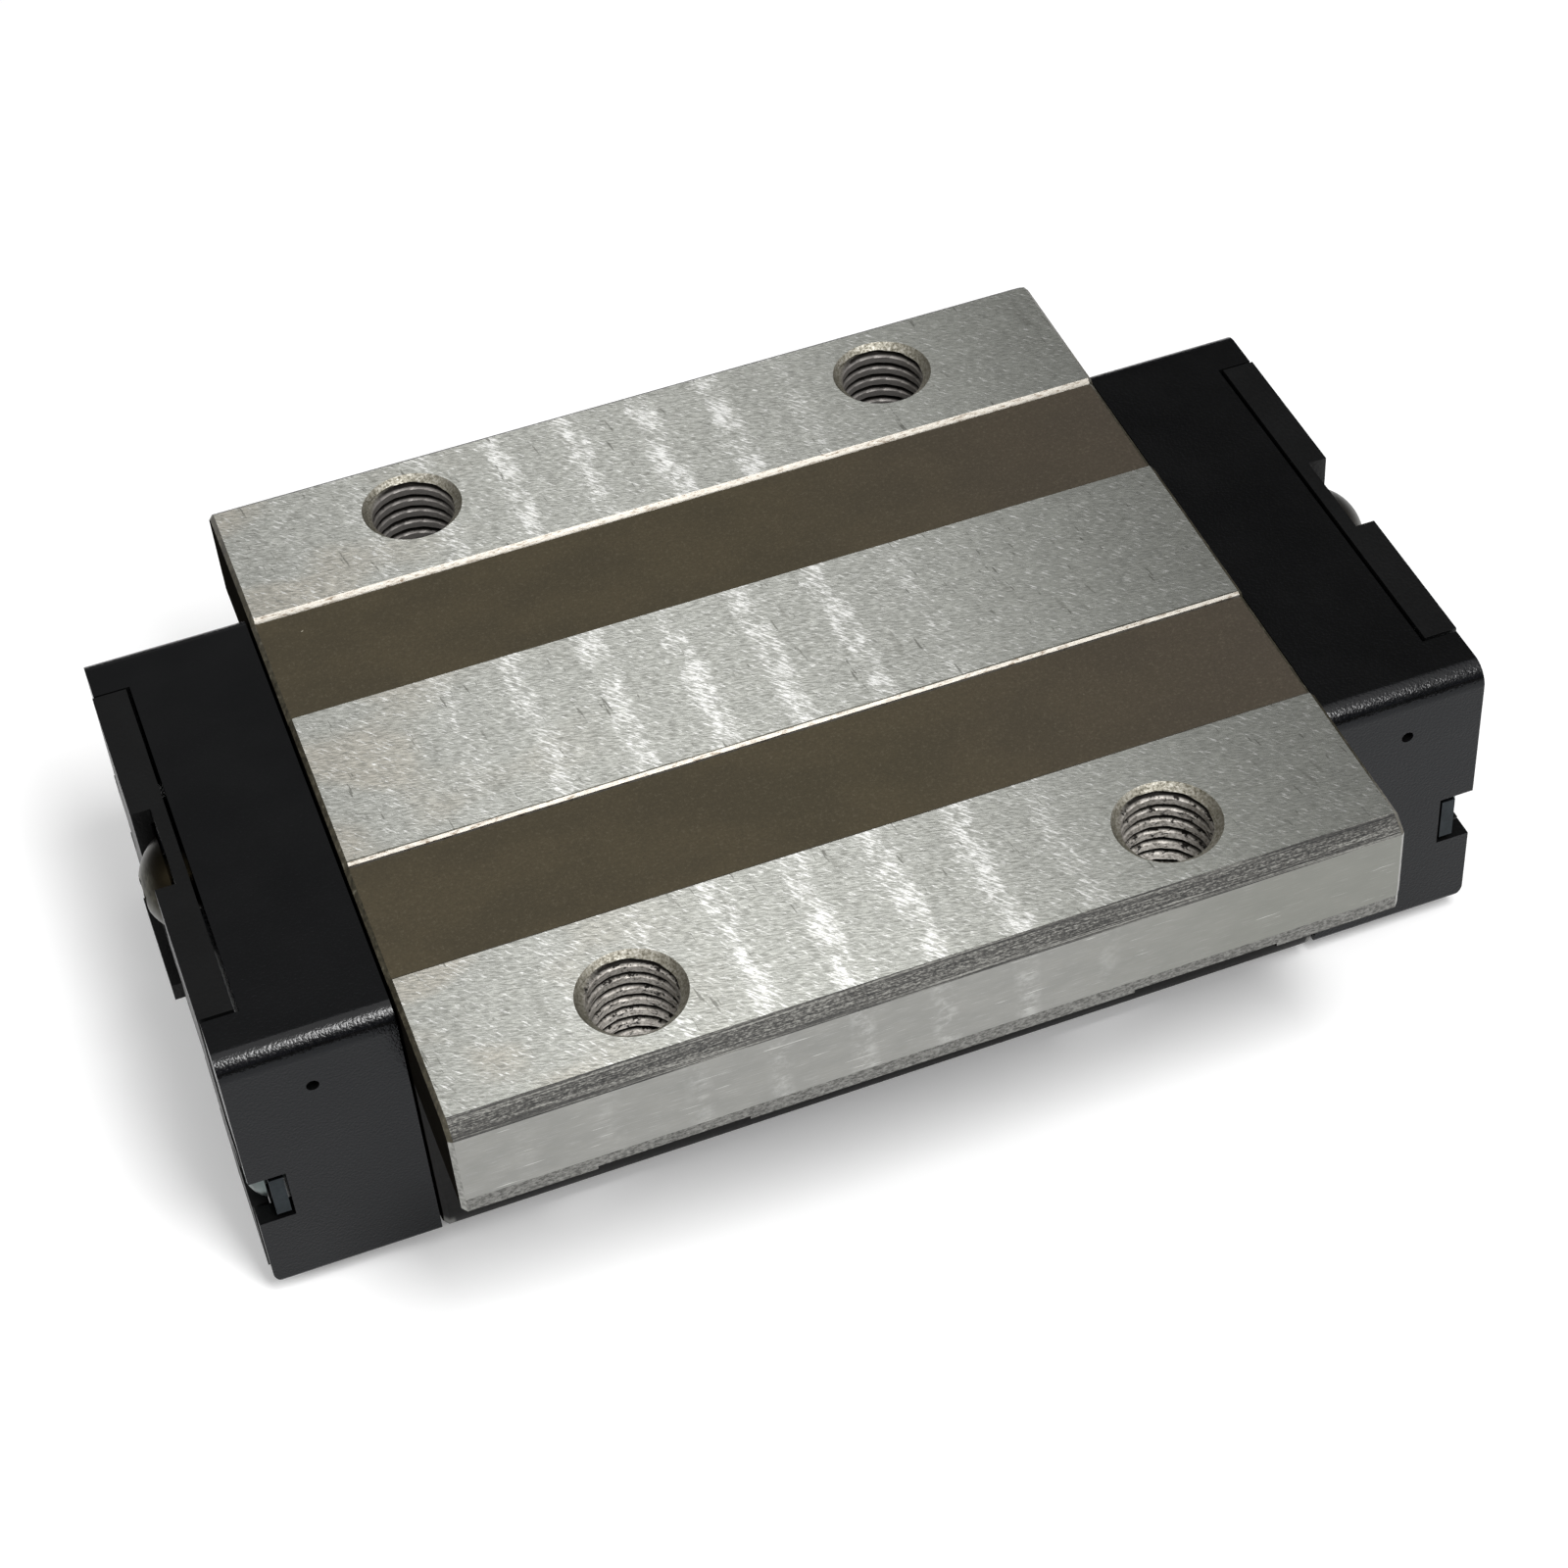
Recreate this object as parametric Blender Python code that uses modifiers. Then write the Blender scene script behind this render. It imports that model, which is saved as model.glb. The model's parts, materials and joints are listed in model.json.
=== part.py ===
"""Flanged ball carriage for a 28 mm profile rail.

The carriage travels along X, spans Y and stands up along Z. Its origin is at the middle of its
foot: the two lower faces of the steel block, either side of the rail channel, lie on Z = 0.
"""

import math

import bmesh
import bpy
from mathutils import Matrix, Vector

MM = 0.001
GAP = 0.3 * MM  # clearance between neighbouring pieces
PAST = 1.0 * MM  # how far a cutter runs past the face it opens

# Steel block
BLOCK_LENGTH = 91.6 * MM
HEIGHT = 35.0 * MM
FLANGE_HALF = 45.0 * MM
FLANGE_THICK = 11.5 * MM
FLANGE_CHAMFER_Y = 1.8 * MM
FLANGE_CHAMFER_Z = 1.35 * MM
BODY_HALF = 29.5 * MM
BODY_CORNER = 5.0 * MM
CENTRE_LAND = 10.4 * MM
OUTER_LAND = 26.0 * MM
RELIEF_DEPTH = 0.45 * MM
RELIEF_RUN = 0.38 * MM
CHANNEL_HALF = 16.2 * MM
CHANNEL_TOP = 20.6 * MM

# Tapped mounting holes, M10, right through the flange
HOLE_SPACING_X = 52.0 * MM
HOLE_SPACING_Y = 72.0 * MM
HOLE_RADIUS = 4.25 * MM
HOLE_MOUTH = 5.2 * MM
SPOT_RADIUS = 7.2 * MM
SPOT_DEPTH = 0.65 * MM

# Rail that the carriage runs on
RAIL_HALF = 14.0 * MM
RAIL_TOP = 19.0 * MM
RAIL_GROOVE = 2.85 * MM

# Ball circuits: loaded rows run on the rail, return rows run inside the block
BALL_RADIUS = 2.778 * MM
BALL_PITCH = 6.4 * MM
BALLS_PER_ROW = 14
LINK_RADIUS = 0.8 * MM
LOADED_Y = 14.9 * MM
LOADED_Z = {"upper": 16.6 * MM, "lower": 8.8 * MM}
RETURN_Y = 23.2 * MM
RETURN_Z = {"upper": 17.6 * MM, "lower": 7.8 * MM}
TUBE_OUTER = 3.5 * MM
TUBE_INNER = 3.08 * MM
PASSAGE_RADIUS = 3.1 * MM

# End caps
CAP_TOP = HEIGHT - 1.3 * MM
CAP_BOTTOM = 2.0 * MM
CAP_HALF = 28.9 * MM
CAP_TOP_RADIUS = 2.2 * MM
CAP_BOTTOM_RADIUS = 0.6 * MM
CAP_INNER = BLOCK_LENGTH / 2 + GAP
CAP_OUTER = 62.65 * MM
POCKET_FLOOR = 59.0 * MM
POCKET_HALF = 22.9 * MM
LEG_POCKET_HALF = 26.7 * MM
LEG_TOP = 19.5 * MM
SIDE_NOTCH_BOTTOM = 11.2 * MM
SIDE_NOTCH_TOP = 17.25 * MM
SIDE_NOTCH_X = 59.1 * MM
GUIDE_DEPTH = 3.2 * MM
GUIDE_Y = (15.0 * MM, 27.2 * MM)
GUIDE_Z = (2.8 * MM, 22.4 * MM)
CAP_OPENING_SIDE = RAIL_HALF + 0.7 * MM
CAP_OPENING_TOP = RAIL_TOP + 0.8 * MM
DIMPLE = (54.7 * MM, HEIGHT - 7.15 * MM)
DIMPLE_RADIUS = 0.7 * MM
GREASE_GROOVE_HALF = 1.0 * MM
GREASE_BAR_HALF = 15.6 * MM
GREASE_BAR_Z = (21.2 * MM, 22.3 * MM)

# End seals and their backing plates
SEAL_OUTER = 62.8 * MM
SEAL_THICK = 1.6 * MM
SEAL_HALF = 22.6 * MM
LEG_HALF = 26.4 * MM
SEAL_LIP_Z = 31.9 * MM
PLATE_INNER = POCKET_FLOOR + 0.4 * MM
PLATE_THICK = 1.4 * MM
PLATE_OUTER = PLATE_INNER + PLATE_THICK
TAB_Z = (11.8 * MM, 16.7 * MM)
TAB_HALF = CAP_HALF - 0.1 * MM
BEAD_PROUD = 1.0 * MM  # the seal's lip stands out over the top of the rail
BEAD_HALF = 6.2 * MM
BEAD_Z = (RAIL_TOP + 2 * GAP, RAIL_TOP + 2.6 * MM)
PLUG_NOTCH_HALF = 5.3 * MM

# Screws
PLUG_Z = 28.5 * MM
PLUG_HEAD = 4.8 * MM
PLUG_HEAD_HEIGHT = 2.9 * MM
PLUG_SHANK = 3.0 * MM
PLUG_LENGTH = 9.0 * MM
PLUG_SOCKET = 1.9 * MM
LEG_SCREW = (24.8 * MM, 14.1 * MM)
LEG_SCREW_HEAD = 2.7 * MM
LEG_SCREW_HEAD_HEIGHT = 1.65 * MM
LEG_SCREW_SHANK = 1.5 * MM
LEG_SCREW_LENGTH = 5.5 * MM
LEG_SCREW_SOCKET = 1.0 * MM
CAP_SCREW = (18.5 * MM, 27.0 * MM)
CAP_SCREW_HEAD = 3.5 * MM
CAP_SCREW_HEAD_HEIGHT = 3.6 * MM
CAP_SCREW_SHANK = 2.0 * MM
CAP_SCREW_SOCKET = 1.7 * MM
CAP_SCREW_BLOCK_DEPTH = 8.0 * MM

# Pieces inside the block: how far they reach from its middle, then the strips in the channel
INSIDE_REACH = BLOCK_LENGTH / 2 - GAP
UPPER_LIP_Y = (11.2 * MM, 12.1 * MM)
UPPER_LIP_FOOT = 18.4 * MM
SIDE_STRIP_INNER = 14.3 * MM
SIDE_SEAL_FOOT = 0.8 * MM
SIDE_SEAL_LIP = 14.15 * MM
SIDE_SEAL_BACK = 15.0 * MM
SIDE_SEAL_RIB = 14.4 * MM

ENDS = {"left": -1, "right": 1}
SIDES = {"front": -1, "back": 1}
LEVELS = ("upper", "lower")


# ---------------------------------------------------------------- scene helpers

def clear_scene():
    for obj in list(bpy.data.objects):
        bpy.data.objects.remove(obj, do_unlink=True)


def collection(name):
    made = bpy.data.collections.new(name)
    bpy.context.scene.collection.children.link(made)
    return made


def material(name, color, roughness, metallic):
    made = bpy.data.materials.new(name)
    made.use_nodes = True
    shader = made.node_tree.nodes["Principled BSDF"]
    shader.inputs["Base Color"].default_value = (*color, 1.0)
    shader.inputs["Roughness"].default_value = roughness
    shader.inputs["Metallic"].default_value = metallic
    return made


# Colour, roughness and metallic of each piece's plain material
BLOCK_STEEL = ((0.42, 0.40, 0.37), 0.35, 0.9)
BRIGHT_STEEL = ((0.55, 0.54, 0.5), 0.3, 1.0)
BLACK_STEEL = ((0.03, 0.03, 0.033), 0.4, 0.8)
COATED_STEEL = ((0.02, 0.022, 0.026), 0.45, 0.6)
BALL_STEEL = ((0.6, 0.6, 0.6), 0.15, 1.0)
CAP_RESIN = ((0.012, 0.012, 0.013), 0.5, 0.0)
GUIDE_RESIN = ((0.03, 0.09, 0.05), 0.5, 0.0)
TUBE_RESIN = ((0.75, 0.73, 0.66), 0.5, 0.0)
SEAL_RUBBER = ((0.014, 0.014, 0.015), 0.6, 0.0)

clear_scene()
PARTS = collection("linear_guide_carriage")
CUTTERS = collection("cutters")


def keep(obj, name, look):
    """Name a finished piece, give it its own material and file it with the parts."""
    obj.name = name
    obj.data.name = name
    obj.data.materials.clear()
    obj.data.materials.append(material(name, *look))
    move_to(obj, PARTS)
    return obj


def move_to(obj, target):
    for owner in list(obj.users_collection):
        owner.objects.unlink(obj)
    target.objects.link(obj)


def cutter(obj, name):
    obj.name = name
    obj.hide_render = True
    obj.display_type = "WIRE"
    move_to(obj, CUTTERS)
    return obj


def boolean(obj, tool, operation="DIFFERENCE"):
    modifier = obj.modifiers.new(tool.name, "BOOLEAN")
    modifier.operation = operation
    modifier.solver = "EXACT"
    modifier.object = tool


def box(x_range, y_range, z_range):
    lows = Vector((min(x_range), min(y_range), min(z_range)))
    highs = Vector((max(x_range), max(y_range), max(z_range)))
    bpy.ops.mesh.primitive_cube_add(size=1.0, location=(lows + highs) / 2)
    obj = bpy.context.object
    obj.data.transform(Matrix.Diagonal((*(highs - lows), 1.0)))
    return obj


def rod(radius, start, end, sides=16, end_radius=None):
    """A cylinder, or a cone with a second radius, from one point to another."""
    start = Vector(start)
    end = Vector(end)
    span = end - start
    mesh = bpy.data.meshes.new("rod")
    work = bmesh.new()
    bmesh.ops.create_cone(
        work, cap_ends=True, segments=sides, radius1=radius,
        radius2=radius if end_radius is None else end_radius, depth=span.length)
    work.to_mesh(mesh)
    work.free()
    obj = bpy.data.objects.new("rod", mesh)
    obj.rotation_euler = span.to_track_quat("Z", "Y").to_euler()
    obj.location = (start + end) / 2
    PARTS.objects.link(obj)
    return obj


def extrusion(outlines, x_range):
    """A closed solid along X from outlines in (Y, Z): the first is the edge, the rest are holes."""
    curve = bpy.data.curves.new("outline", "CURVE")
    curve.dimensions = "2D"
    curve.fill_mode = "BOTH"
    curve.extrude = abs(x_range[1] - x_range[0]) / 2
    for outline in outlines:
        spline = curve.splines.new("POLY")
        spline.points.add(len(outline) - 1)
        for point, (y, z) in zip(spline.points, outline):
            point.co = (y, z, 0.0, 1.0)
        spline.use_cyclic_u = True
    flat = bpy.data.objects.new("outline", curve)
    # The outline's own X, Y and Z become the carriage's Y, Z and X.
    flat.matrix_world = Matrix((
        (0.0, 0.0, 1.0, sum(x_range) / 2),
        (1.0, 0.0, 0.0, 0.0),
        (0.0, 1.0, 0.0, 0.0),
        (0.0, 0.0, 0.0, 1.0)))
    PARTS.objects.link(flat)
    bpy.context.view_layer.update()
    evaluated = flat.evaluated_get(bpy.context.evaluated_depsgraph_get())
    mesh = bpy.data.meshes.new_from_object(evaluated)
    work = bmesh.new()
    work.from_mesh(mesh)
    bmesh.ops.remove_doubles(work, verts=work.verts, dist=0.00001)
    lids = [f for f in work.faces if len({round(v.co.z, 6) for v in f.verts}) == 1]
    inside = [e for e in work.edges if all(f in lids for f in e.link_faces)]
    bmesh.ops.beautify_fill(work, faces=lids, edges=inside)
    bmesh.ops.recalc_face_normals(work, faces=work.faces)
    work.to_mesh(mesh)
    work.free()
    obj = bpy.data.objects.new("extrusion", mesh)
    obj.matrix_world = flat.matrix_world
    PARTS.objects.link(obj)
    bpy.data.objects.remove(flat, do_unlink=True)
    return obj


def turned(profile, steps):
    """A turned solid about Z. Its profile runs from the top of the axis to the bottom."""
    mesh = bpy.data.meshes.new("turned")
    edges = [(i, i + 1) for i in range(len(profile) - 1)]
    mesh.from_pydata([(r, 0.0, z) for r, z in profile], edges, [])
    obj = bpy.data.objects.new("turned", mesh)
    PARTS.objects.link(obj)
    screw = obj.modifiers.new("turn", "SCREW")
    screw.axis = "Z"
    screw.steps = steps
    screw.render_steps = steps
    screw.use_merge_vertices = True
    screw.merge_threshold = 0.00001
    return obj


# ---------------------------------------------------------------- outlines

def arc(centre, radius, start_deg, end_deg, steps):
    points = []
    for i in range(steps + 1):
        angle = math.radians(start_deg + (end_deg - start_deg) * i / steps)
        points.append((centre[0] + radius * math.cos(angle), centre[1] + radius * math.sin(angle)))
    return points


def circle(centre, radius, steps):
    return arc(centre, radius, 0.0, 360.0, steps)[:-1]


def mirrored(half):
    """Close an outline whose +Y half runs from its top middle round to its bottom middle."""
    other = [(-y, z) for y, z in reversed(half) if y > 0.0]
    return half + other


def groove_arc(row_z, radius, wall_y, steps):
    """The stretch of a ball groove outside a wall at wall_y, from its top to its bottom."""
    half_angle = math.degrees(math.acos((wall_y - LOADED_Y) / radius))
    return arc((LOADED_Y, row_z), radius, half_angle, -half_angle, steps)


def block_outline():
    race = BALL_RADIUS + GAP
    floor = HEIGHT - RELIEF_DEPTH
    under = HEIGHT - FLANGE_THICK
    half = [
        (0.0, HEIGHT),
        (CENTRE_LAND, HEIGHT),
        (CENTRE_LAND + RELIEF_RUN, floor),
        (OUTER_LAND - RELIEF_RUN, floor),
        (OUTER_LAND, HEIGHT),
        (FLANGE_HALF - FLANGE_CHAMFER_Y, HEIGHT),
        (FLANGE_HALF, HEIGHT - FLANGE_CHAMFER_Z),
        (FLANGE_HALF, under),
        (BODY_HALF, under),
    ]
    half += arc((BODY_HALF - BODY_CORNER, BODY_CORNER), BODY_CORNER, 0.0, -90.0, 6)
    half.append((CHANNEL_HALF, 0.0))
    for level in reversed(LEVELS):
        half += reversed(groove_arc(LOADED_Z[level], race, CHANNEL_HALF, 8))
    half.append((CHANNEL_HALF, CHANNEL_TOP))
    return mirrored(half)


def rail_opening(offset, low):
    """Half outline of an opening that follows the rail, from its top middle to low."""
    bump = RAIL_GROOVE - offset
    side = RAIL_HALF + offset
    top = RAIL_TOP + offset
    upper = LOADED_Z["upper"]
    start = math.degrees(math.asin((top - upper) / bump)) if top - upper < bump else 90.0
    reach = math.degrees(math.acos((LOADED_Y - side) / bump))
    half = [(0.0, top)]
    half += arc((LOADED_Y, upper), bump, 180.0 - start, 180.0 + reach, 8)
    half += arc((LOADED_Y, LOADED_Z["lower"]), bump, 180.0 - reach, 180.0 + reach, 8)
    half.append((side, low))
    return half


# ---------------------------------------------------------------- steel block

def cut_mount_hole(block, x, y, side):
    """A tapped hole with its chamfered mouth, and the milled seat round it under the flange."""
    under = HEIGHT - FLANGE_THICK
    seat = under + SPOT_DEPTH
    hole = turned([
        (0.0, HEIGHT + PAST),
        (HOLE_MOUTH + PAST, HEIGHT + PAST),
        (HOLE_RADIUS, HEIGHT - HOLE_MOUTH + HOLE_RADIUS),
        (HOLE_RADIUS, seat),
        (SPOT_RADIUS, seat),
        (SPOT_RADIUS, under - PAST),
        (0.0, under - PAST),
    ], 24)
    hole.location = (x, y, 0.0)
    boolean(block, cutter(hole, "mount_hole_cutter"))
    run_out = box((x - SPOT_RADIUS, x + SPOT_RADIUS), (y, side * (FLANGE_HALF + PAST)),
                  (under - PAST, seat))
    boolean(block, cutter(run_out, "seat_run_out_cutter"))


def make_block():
    outlines = [block_outline()]
    for side in SIDES.values():
        for level in LEVELS:
            centre = (side * RETURN_Y, RETURN_Z[level])
            outlines.append(circle(centre, TUBE_OUTER + GAP, 16))
    block = extrusion(outlines, (-BLOCK_LENGTH / 2, BLOCK_LENGTH / 2))
    for end in ENDS.values():
        for side in SIDES.values():
            cut_mount_hole(block, end * HOLE_SPACING_X / 2, side * HOLE_SPACING_Y / 2, side)
            y, z = side * CAP_SCREW[0], CAP_SCREW[1]
            deep = BLOCK_LENGTH / 2 - CAP_SCREW_BLOCK_DEPTH - PAST
            bore = rod(CAP_SCREW_SHANK + GAP, (end * deep, y, z), (end * (CAP_INNER + PAST), y, z), 12)
            boolean(block, cutter(bore, "cap_screw_thread_cutter"))
    keep(block, "carriage_block", BLOCK_STEEL)


# ---------------------------------------------------------------- end caps and guides

def turnaround(end, side, level):
    """The half ring along which the balls pass from a loaded row to its return row."""
    loaded = Vector((0.0, side * LOADED_Y, LOADED_Z[level]))
    back = Vector((0.0, side * RETURN_Y, RETURN_Z[level]))
    across = back - loaded
    centre = (loaded + back) / 2
    centre.x = end * BLOCK_LENGTH / 2
    normal = Vector((1.0, 0.0, 0.0)).cross(across)
    bpy.ops.mesh.primitive_torus_add(
        location=centre, rotation=normal.to_track_quat("Z", "Y").to_euler(),
        major_radius=across.length / 2, minor_radius=PASSAGE_RADIUS,
        major_segments=20, minor_segments=10)
    return cutter(bpy.context.object, "turnaround_cutter")


def cap_outline():
    top = CAP_TOP_RADIUS
    low = CAP_BOTTOM_RADIUS
    half = [(0.0, CAP_TOP)]
    half += arc((CAP_HALF - top, CAP_TOP - top), top, 90.0, 0.0, 6)
    half += arc((CAP_HALF - low, CAP_BOTTOM + low), low, 0.0, -90.0, 4)
    half.append((CAP_OPENING_SIDE, CAP_BOTTOM))
    half.append((CAP_OPENING_SIDE, CAP_OPENING_TOP))
    return mirrored(half)


def cut_seal_pocket(cap, end):
    out = end * (CAP_OUTER + PAST)
    floor = end * POCKET_FLOOR
    upper = box((floor, out), (-POCKET_HALF, POCKET_HALF), (LEG_TOP, CAP_TOP + PAST))
    boolean(cap, cutter(upper, "seal_pocket_cutter"))
    legs = box((floor, out), (-LEG_POCKET_HALF, LEG_POCKET_HALF),
               (CAP_BOTTOM - PAST, LEG_TOP + GAP))
    boolean(cap, cutter(legs, "seal_leg_pocket_cutter"))
    for side in SIDES.values():
        notch = box((end * SIDE_NOTCH_X, out),
                    (side * (LEG_POCKET_HALF - PAST), side * (CAP_HALF + PAST)),
                    (SIDE_NOTCH_BOTTOM, SIDE_NOTCH_TOP))
        boolean(cap, cutter(notch, "side_notch_cutter"))


def cut_guide_pockets(cap, end):
    depth = CAP_INNER + GUIDE_DEPTH + GAP
    for side in SIDES.values():
        pocket = box((end * (CAP_INNER - PAST), end * depth),
                     (side * (GUIDE_Y[0] - PAST), side * (GUIDE_Y[1] + GAP)),
                     (GUIDE_Z[0] - GAP, GUIDE_Z[1] + GAP))
        boolean(cap, cutter(pocket, "guide_pocket_cutter"))
        for level in LEVELS:
            boolean(cap, turnaround(end, side, level))


def cut_cap_bores(cap, end):
    inner = end * (CAP_INNER - PAST)
    outer = end * (POCKET_FLOOR + PAST)
    port = rod(PLUG_SHANK + GAP, (inner, 0.0, PLUG_Z), (outer, 0.0, PLUG_Z), 16)
    boolean(cap, cutter(port, "grease_port_cutter"))
    groove = end * (CAP_INNER + PAST)
    stem_half = GREASE_GROOVE_HALF
    stem = box((inner, groove), (-stem_half, stem_half), (GREASE_BAR_Z[0] + GAP, PLUG_Z))
    boolean(cap, cutter(stem, "grease_stem_cutter"))
    bar = box((inner, groove), (-GREASE_BAR_HALF, GREASE_BAR_HALF), GREASE_BAR_Z)
    boolean(cap, cutter(bar, "grease_bar_cutter"))
    for side in SIDES.values():
        y, z = side * CAP_SCREW[0], CAP_SCREW[1]
        bore = rod(CAP_SCREW_SHANK + GAP, (inner, y, z), (outer, y, z), 12)
        boolean(cap, cutter(bore, "cap_screw_cutter"))
        seat = end * (POCKET_FLOOR - CAP_SCREW_HEAD_HEIGHT - 2 * GAP)
        sink = rod(CAP_SCREW_HEAD + GAP, (seat, y, z), (outer, y, z), 16)
        boolean(cap, cutter(sink, "cap_screw_head_cutter"))
        y, z = side * LEG_SCREW[0], LEG_SCREW[1]
        tip = end * (PLATE_OUTER + GAP - LEG_SCREW_LENGTH - 2 * GAP)
        bore = rod(LEG_SCREW_SHANK + GAP, (tip, y, z), (outer, y, z), 12)
        boolean(cap, cutter(bore, "leg_screw_cutter"))
        x, z = end * DIMPLE[0], DIMPLE[1]
        floor = side * (CAP_HALF - DIMPLE_RADIUS)
        mark = rod(DIMPLE_RADIUS, (x, floor, z), (x, side * (CAP_HALF + PAST), z), 8)
        boolean(cap, cutter(mark, "side_dimple_cutter"))


def make_cap(end_name):
    end = ENDS[end_name]
    cap = extrusion([cap_outline()], (end * CAP_INNER, end * CAP_OUTER))
    cut_seal_pocket(cap, end)
    cut_guide_pockets(cap, end)
    cut_cap_bores(cap, end)
    keep(cap, f"end_cap_{end_name}", CAP_RESIN)


def make_guide(end_name, side_name):
    """The insert that forms the inner half of both turnarounds on one side of one end."""
    end = ENDS[end_name]
    side = SIDES[side_name]
    guide = box((end * CAP_INNER, end * (CAP_INNER + GUIDE_DEPTH)),
                (side * GUIDE_Y[0], side * GUIDE_Y[1]), GUIDE_Z)
    for level in LEVELS:
        boolean(guide, turnaround(end, side, level))
    keep(guide, f"return_guide_{end_name}_{side_name}", GUIDE_RESIN)


# ---------------------------------------------------------------- end seals

def seal_outline(inset, top):
    """Outer edge of the seal stack, half, from its top middle to its foot."""
    return [
        (0.0, top),
        (SEAL_HALF - inset, top),
        (SEAL_HALF - inset, LEG_TOP),
        (LEG_HALF - inset, LEG_TOP),
        (LEG_HALF - inset, CAP_BOTTOM + inset),
    ]


def opening_arch(outer_half, offset, low):
    inner = rail_opening(offset, low)
    half = outer_half + list(reversed(inner))
    return mirrored(half)


def make_seal(end_name):
    end = ENDS[end_name]
    inner = PLATE_OUTER + GAP
    top = CAP_TOP + 0.1 * MM
    outline = opening_arch(seal_outline(0.0, top), GAP, CAP_BOTTOM)
    seal = extrusion([outline], (end * inner, end * SEAL_OUTER))
    lip = box((end * PLATE_INNER, end * (inner + PAST)), (-SEAL_HALF, SEAL_HALF), (SEAL_LIP_Z, top))
    boolean(seal, cutter(lip, "seal_top_lip"), "UNION")
    bead = box((end * (SEAL_OUTER - SEAL_THICK / 2), end * (SEAL_OUTER + BEAD_PROUD)),
               (-BEAD_HALF, BEAD_HALF), BEAD_Z)
    boolean(seal, cutter(bead, "seal_bead"), "UNION")
    outside = end * (SEAL_OUTER + PAST)
    inside = end * (inner - PAST / 2)
    notch = box((end * PLATE_OUTER, outside), (-PLUG_NOTCH_HALF, PLUG_NOTCH_HALF),
                (PLUG_Z, top + PAST))
    boolean(seal, cutter(notch, "plug_notch_cutter"))
    round_end = rod(PLUG_NOTCH_HALF, (inside, 0.0, PLUG_Z), (outside, 0.0, PLUG_Z), 24)
    boolean(seal, cutter(round_end, "plug_notch_round_cutter"))
    for side in SIDES.values():
        y, z = side * LEG_SCREW[0], LEG_SCREW[1]
        half = (SIDE_NOTCH_TOP - SIDE_NOTCH_BOTTOM) / 2
        slot = box((inside, outside), (y, side * (LEG_HALF + PAST)), (z - half, z + half))
        boolean(seal, cutter(slot, "leg_slot_cutter"))
        slot_end = rod(half, (inside, y, z), (outside, y, z), 16)
        boolean(seal, cutter(slot_end, "leg_slot_round_cutter"))
    keep(seal, f"end_seal_{end_name}", SEAL_RUBBER)


def make_plate(end_name):
    """The coated steel plate behind the seal, with a tab through each side notch."""
    end = ENDS[end_name]
    top = SEAL_LIP_Z - GAP
    half = seal_outline(GAP, top)
    leg = half[-1][0]
    tab = [(leg, TAB_Z[1]), (TAB_HALF, TAB_Z[1]), (TAB_HALF, TAB_Z[0]), (leg, TAB_Z[0])]
    outer = half[:-1] + tab + half[-1:]
    plate = extrusion([opening_arch(outer, 3 * GAP, half[-1][1])],
                      (end * PLATE_INNER, end * PLATE_OUTER))
    holes = [(0.0, PLUG_Z, PLUG_SHANK + GAP, 16)]
    holes += [(s * LEG_SCREW[0], LEG_SCREW[1], LEG_SCREW_SHANK + GAP, 12) for s in SIDES.values()]
    for y, z, radius, sides in holes:
        hole = rod(radius, (end * (PLATE_INNER - PAST), y, z),
                   (end * (PLATE_OUTER + PAST), y, z), sides)
        boolean(plate, cutter(hole, "plate_hole_cutter"))
    keep(plate, f"seal_plate_{end_name}", COATED_STEEL)


# ---------------------------------------------------------------- screws

def screw(name, head, shank, length, seat, look, socket, dome):
    """A screw along X. Its seat is the point under its head; end says which way it faces."""
    head_radius, head_height = head
    (x, y, z), end = seat
    rise = head_height / 3
    if dome:
        crown = [(head_radius * 0.55, head_height), (head_radius * 0.85, head_height - rise),
                 (head_radius, rise)]
    else:
        crown = [(head_radius, head_height)]
    profile = [(0.0, head_height)] + crown
    profile += [(head_radius, 0.0), (shank, 0.0), (shank, -length), (0.0, -length)]
    piece = turned(profile, 16)
    key = rod(socket, (0.0, 0.0, head_height * 0.4), (0.0, 0.0, head_height * 2), 6)
    boolean(piece, cutter(key, "socket_cutter"))
    frame = Vector((end, 0.0, 0.0)).to_track_quat("Z", "Y").to_matrix().to_4x4()
    place = Matrix.Translation((x, y, z)) @ frame
    piece.matrix_world = place
    key.matrix_world = place @ key.matrix_basis
    keep(piece, name, look)


def make_screws():
    for end_name, end in ENDS.items():
        plug_seat = ((end * (PLATE_OUTER + GAP), 0.0, PLUG_Z), end)
        screw(f"grease_plug_{end_name}", (PLUG_HEAD, PLUG_HEAD_HEIGHT), PLUG_SHANK, PLUG_LENGTH,
              plug_seat, BRIGHT_STEEL, PLUG_SOCKET, True)
        for side_name, side in SIDES.items():
            y, z = side * LEG_SCREW[0], LEG_SCREW[1]
            seat = ((end * (PLATE_OUTER + GAP), y, z), end)
            screw(f"seal_screw_{end_name}_{side_name}", (LEG_SCREW_HEAD, LEG_SCREW_HEAD_HEIGHT),
                  LEG_SCREW_SHANK, LEG_SCREW_LENGTH, seat, BRIGHT_STEEL, LEG_SCREW_SOCKET, True)
            y, z = side * CAP_SCREW[0], CAP_SCREW[1]
            x = POCKET_FLOOR - CAP_SCREW_HEAD_HEIGHT - GAP
            length = x - BLOCK_LENGTH / 2 + CAP_SCREW_BLOCK_DEPTH
            screw(f"cap_screw_{end_name}_{side_name}", (CAP_SCREW_HEAD, CAP_SCREW_HEAD_HEIGHT),
                  CAP_SCREW_SHANK, length, ((end * x, y, z), end), BLACK_STEEL, CAP_SCREW_SOCKET, False)


# ---------------------------------------------------------------- ball circuits

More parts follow.
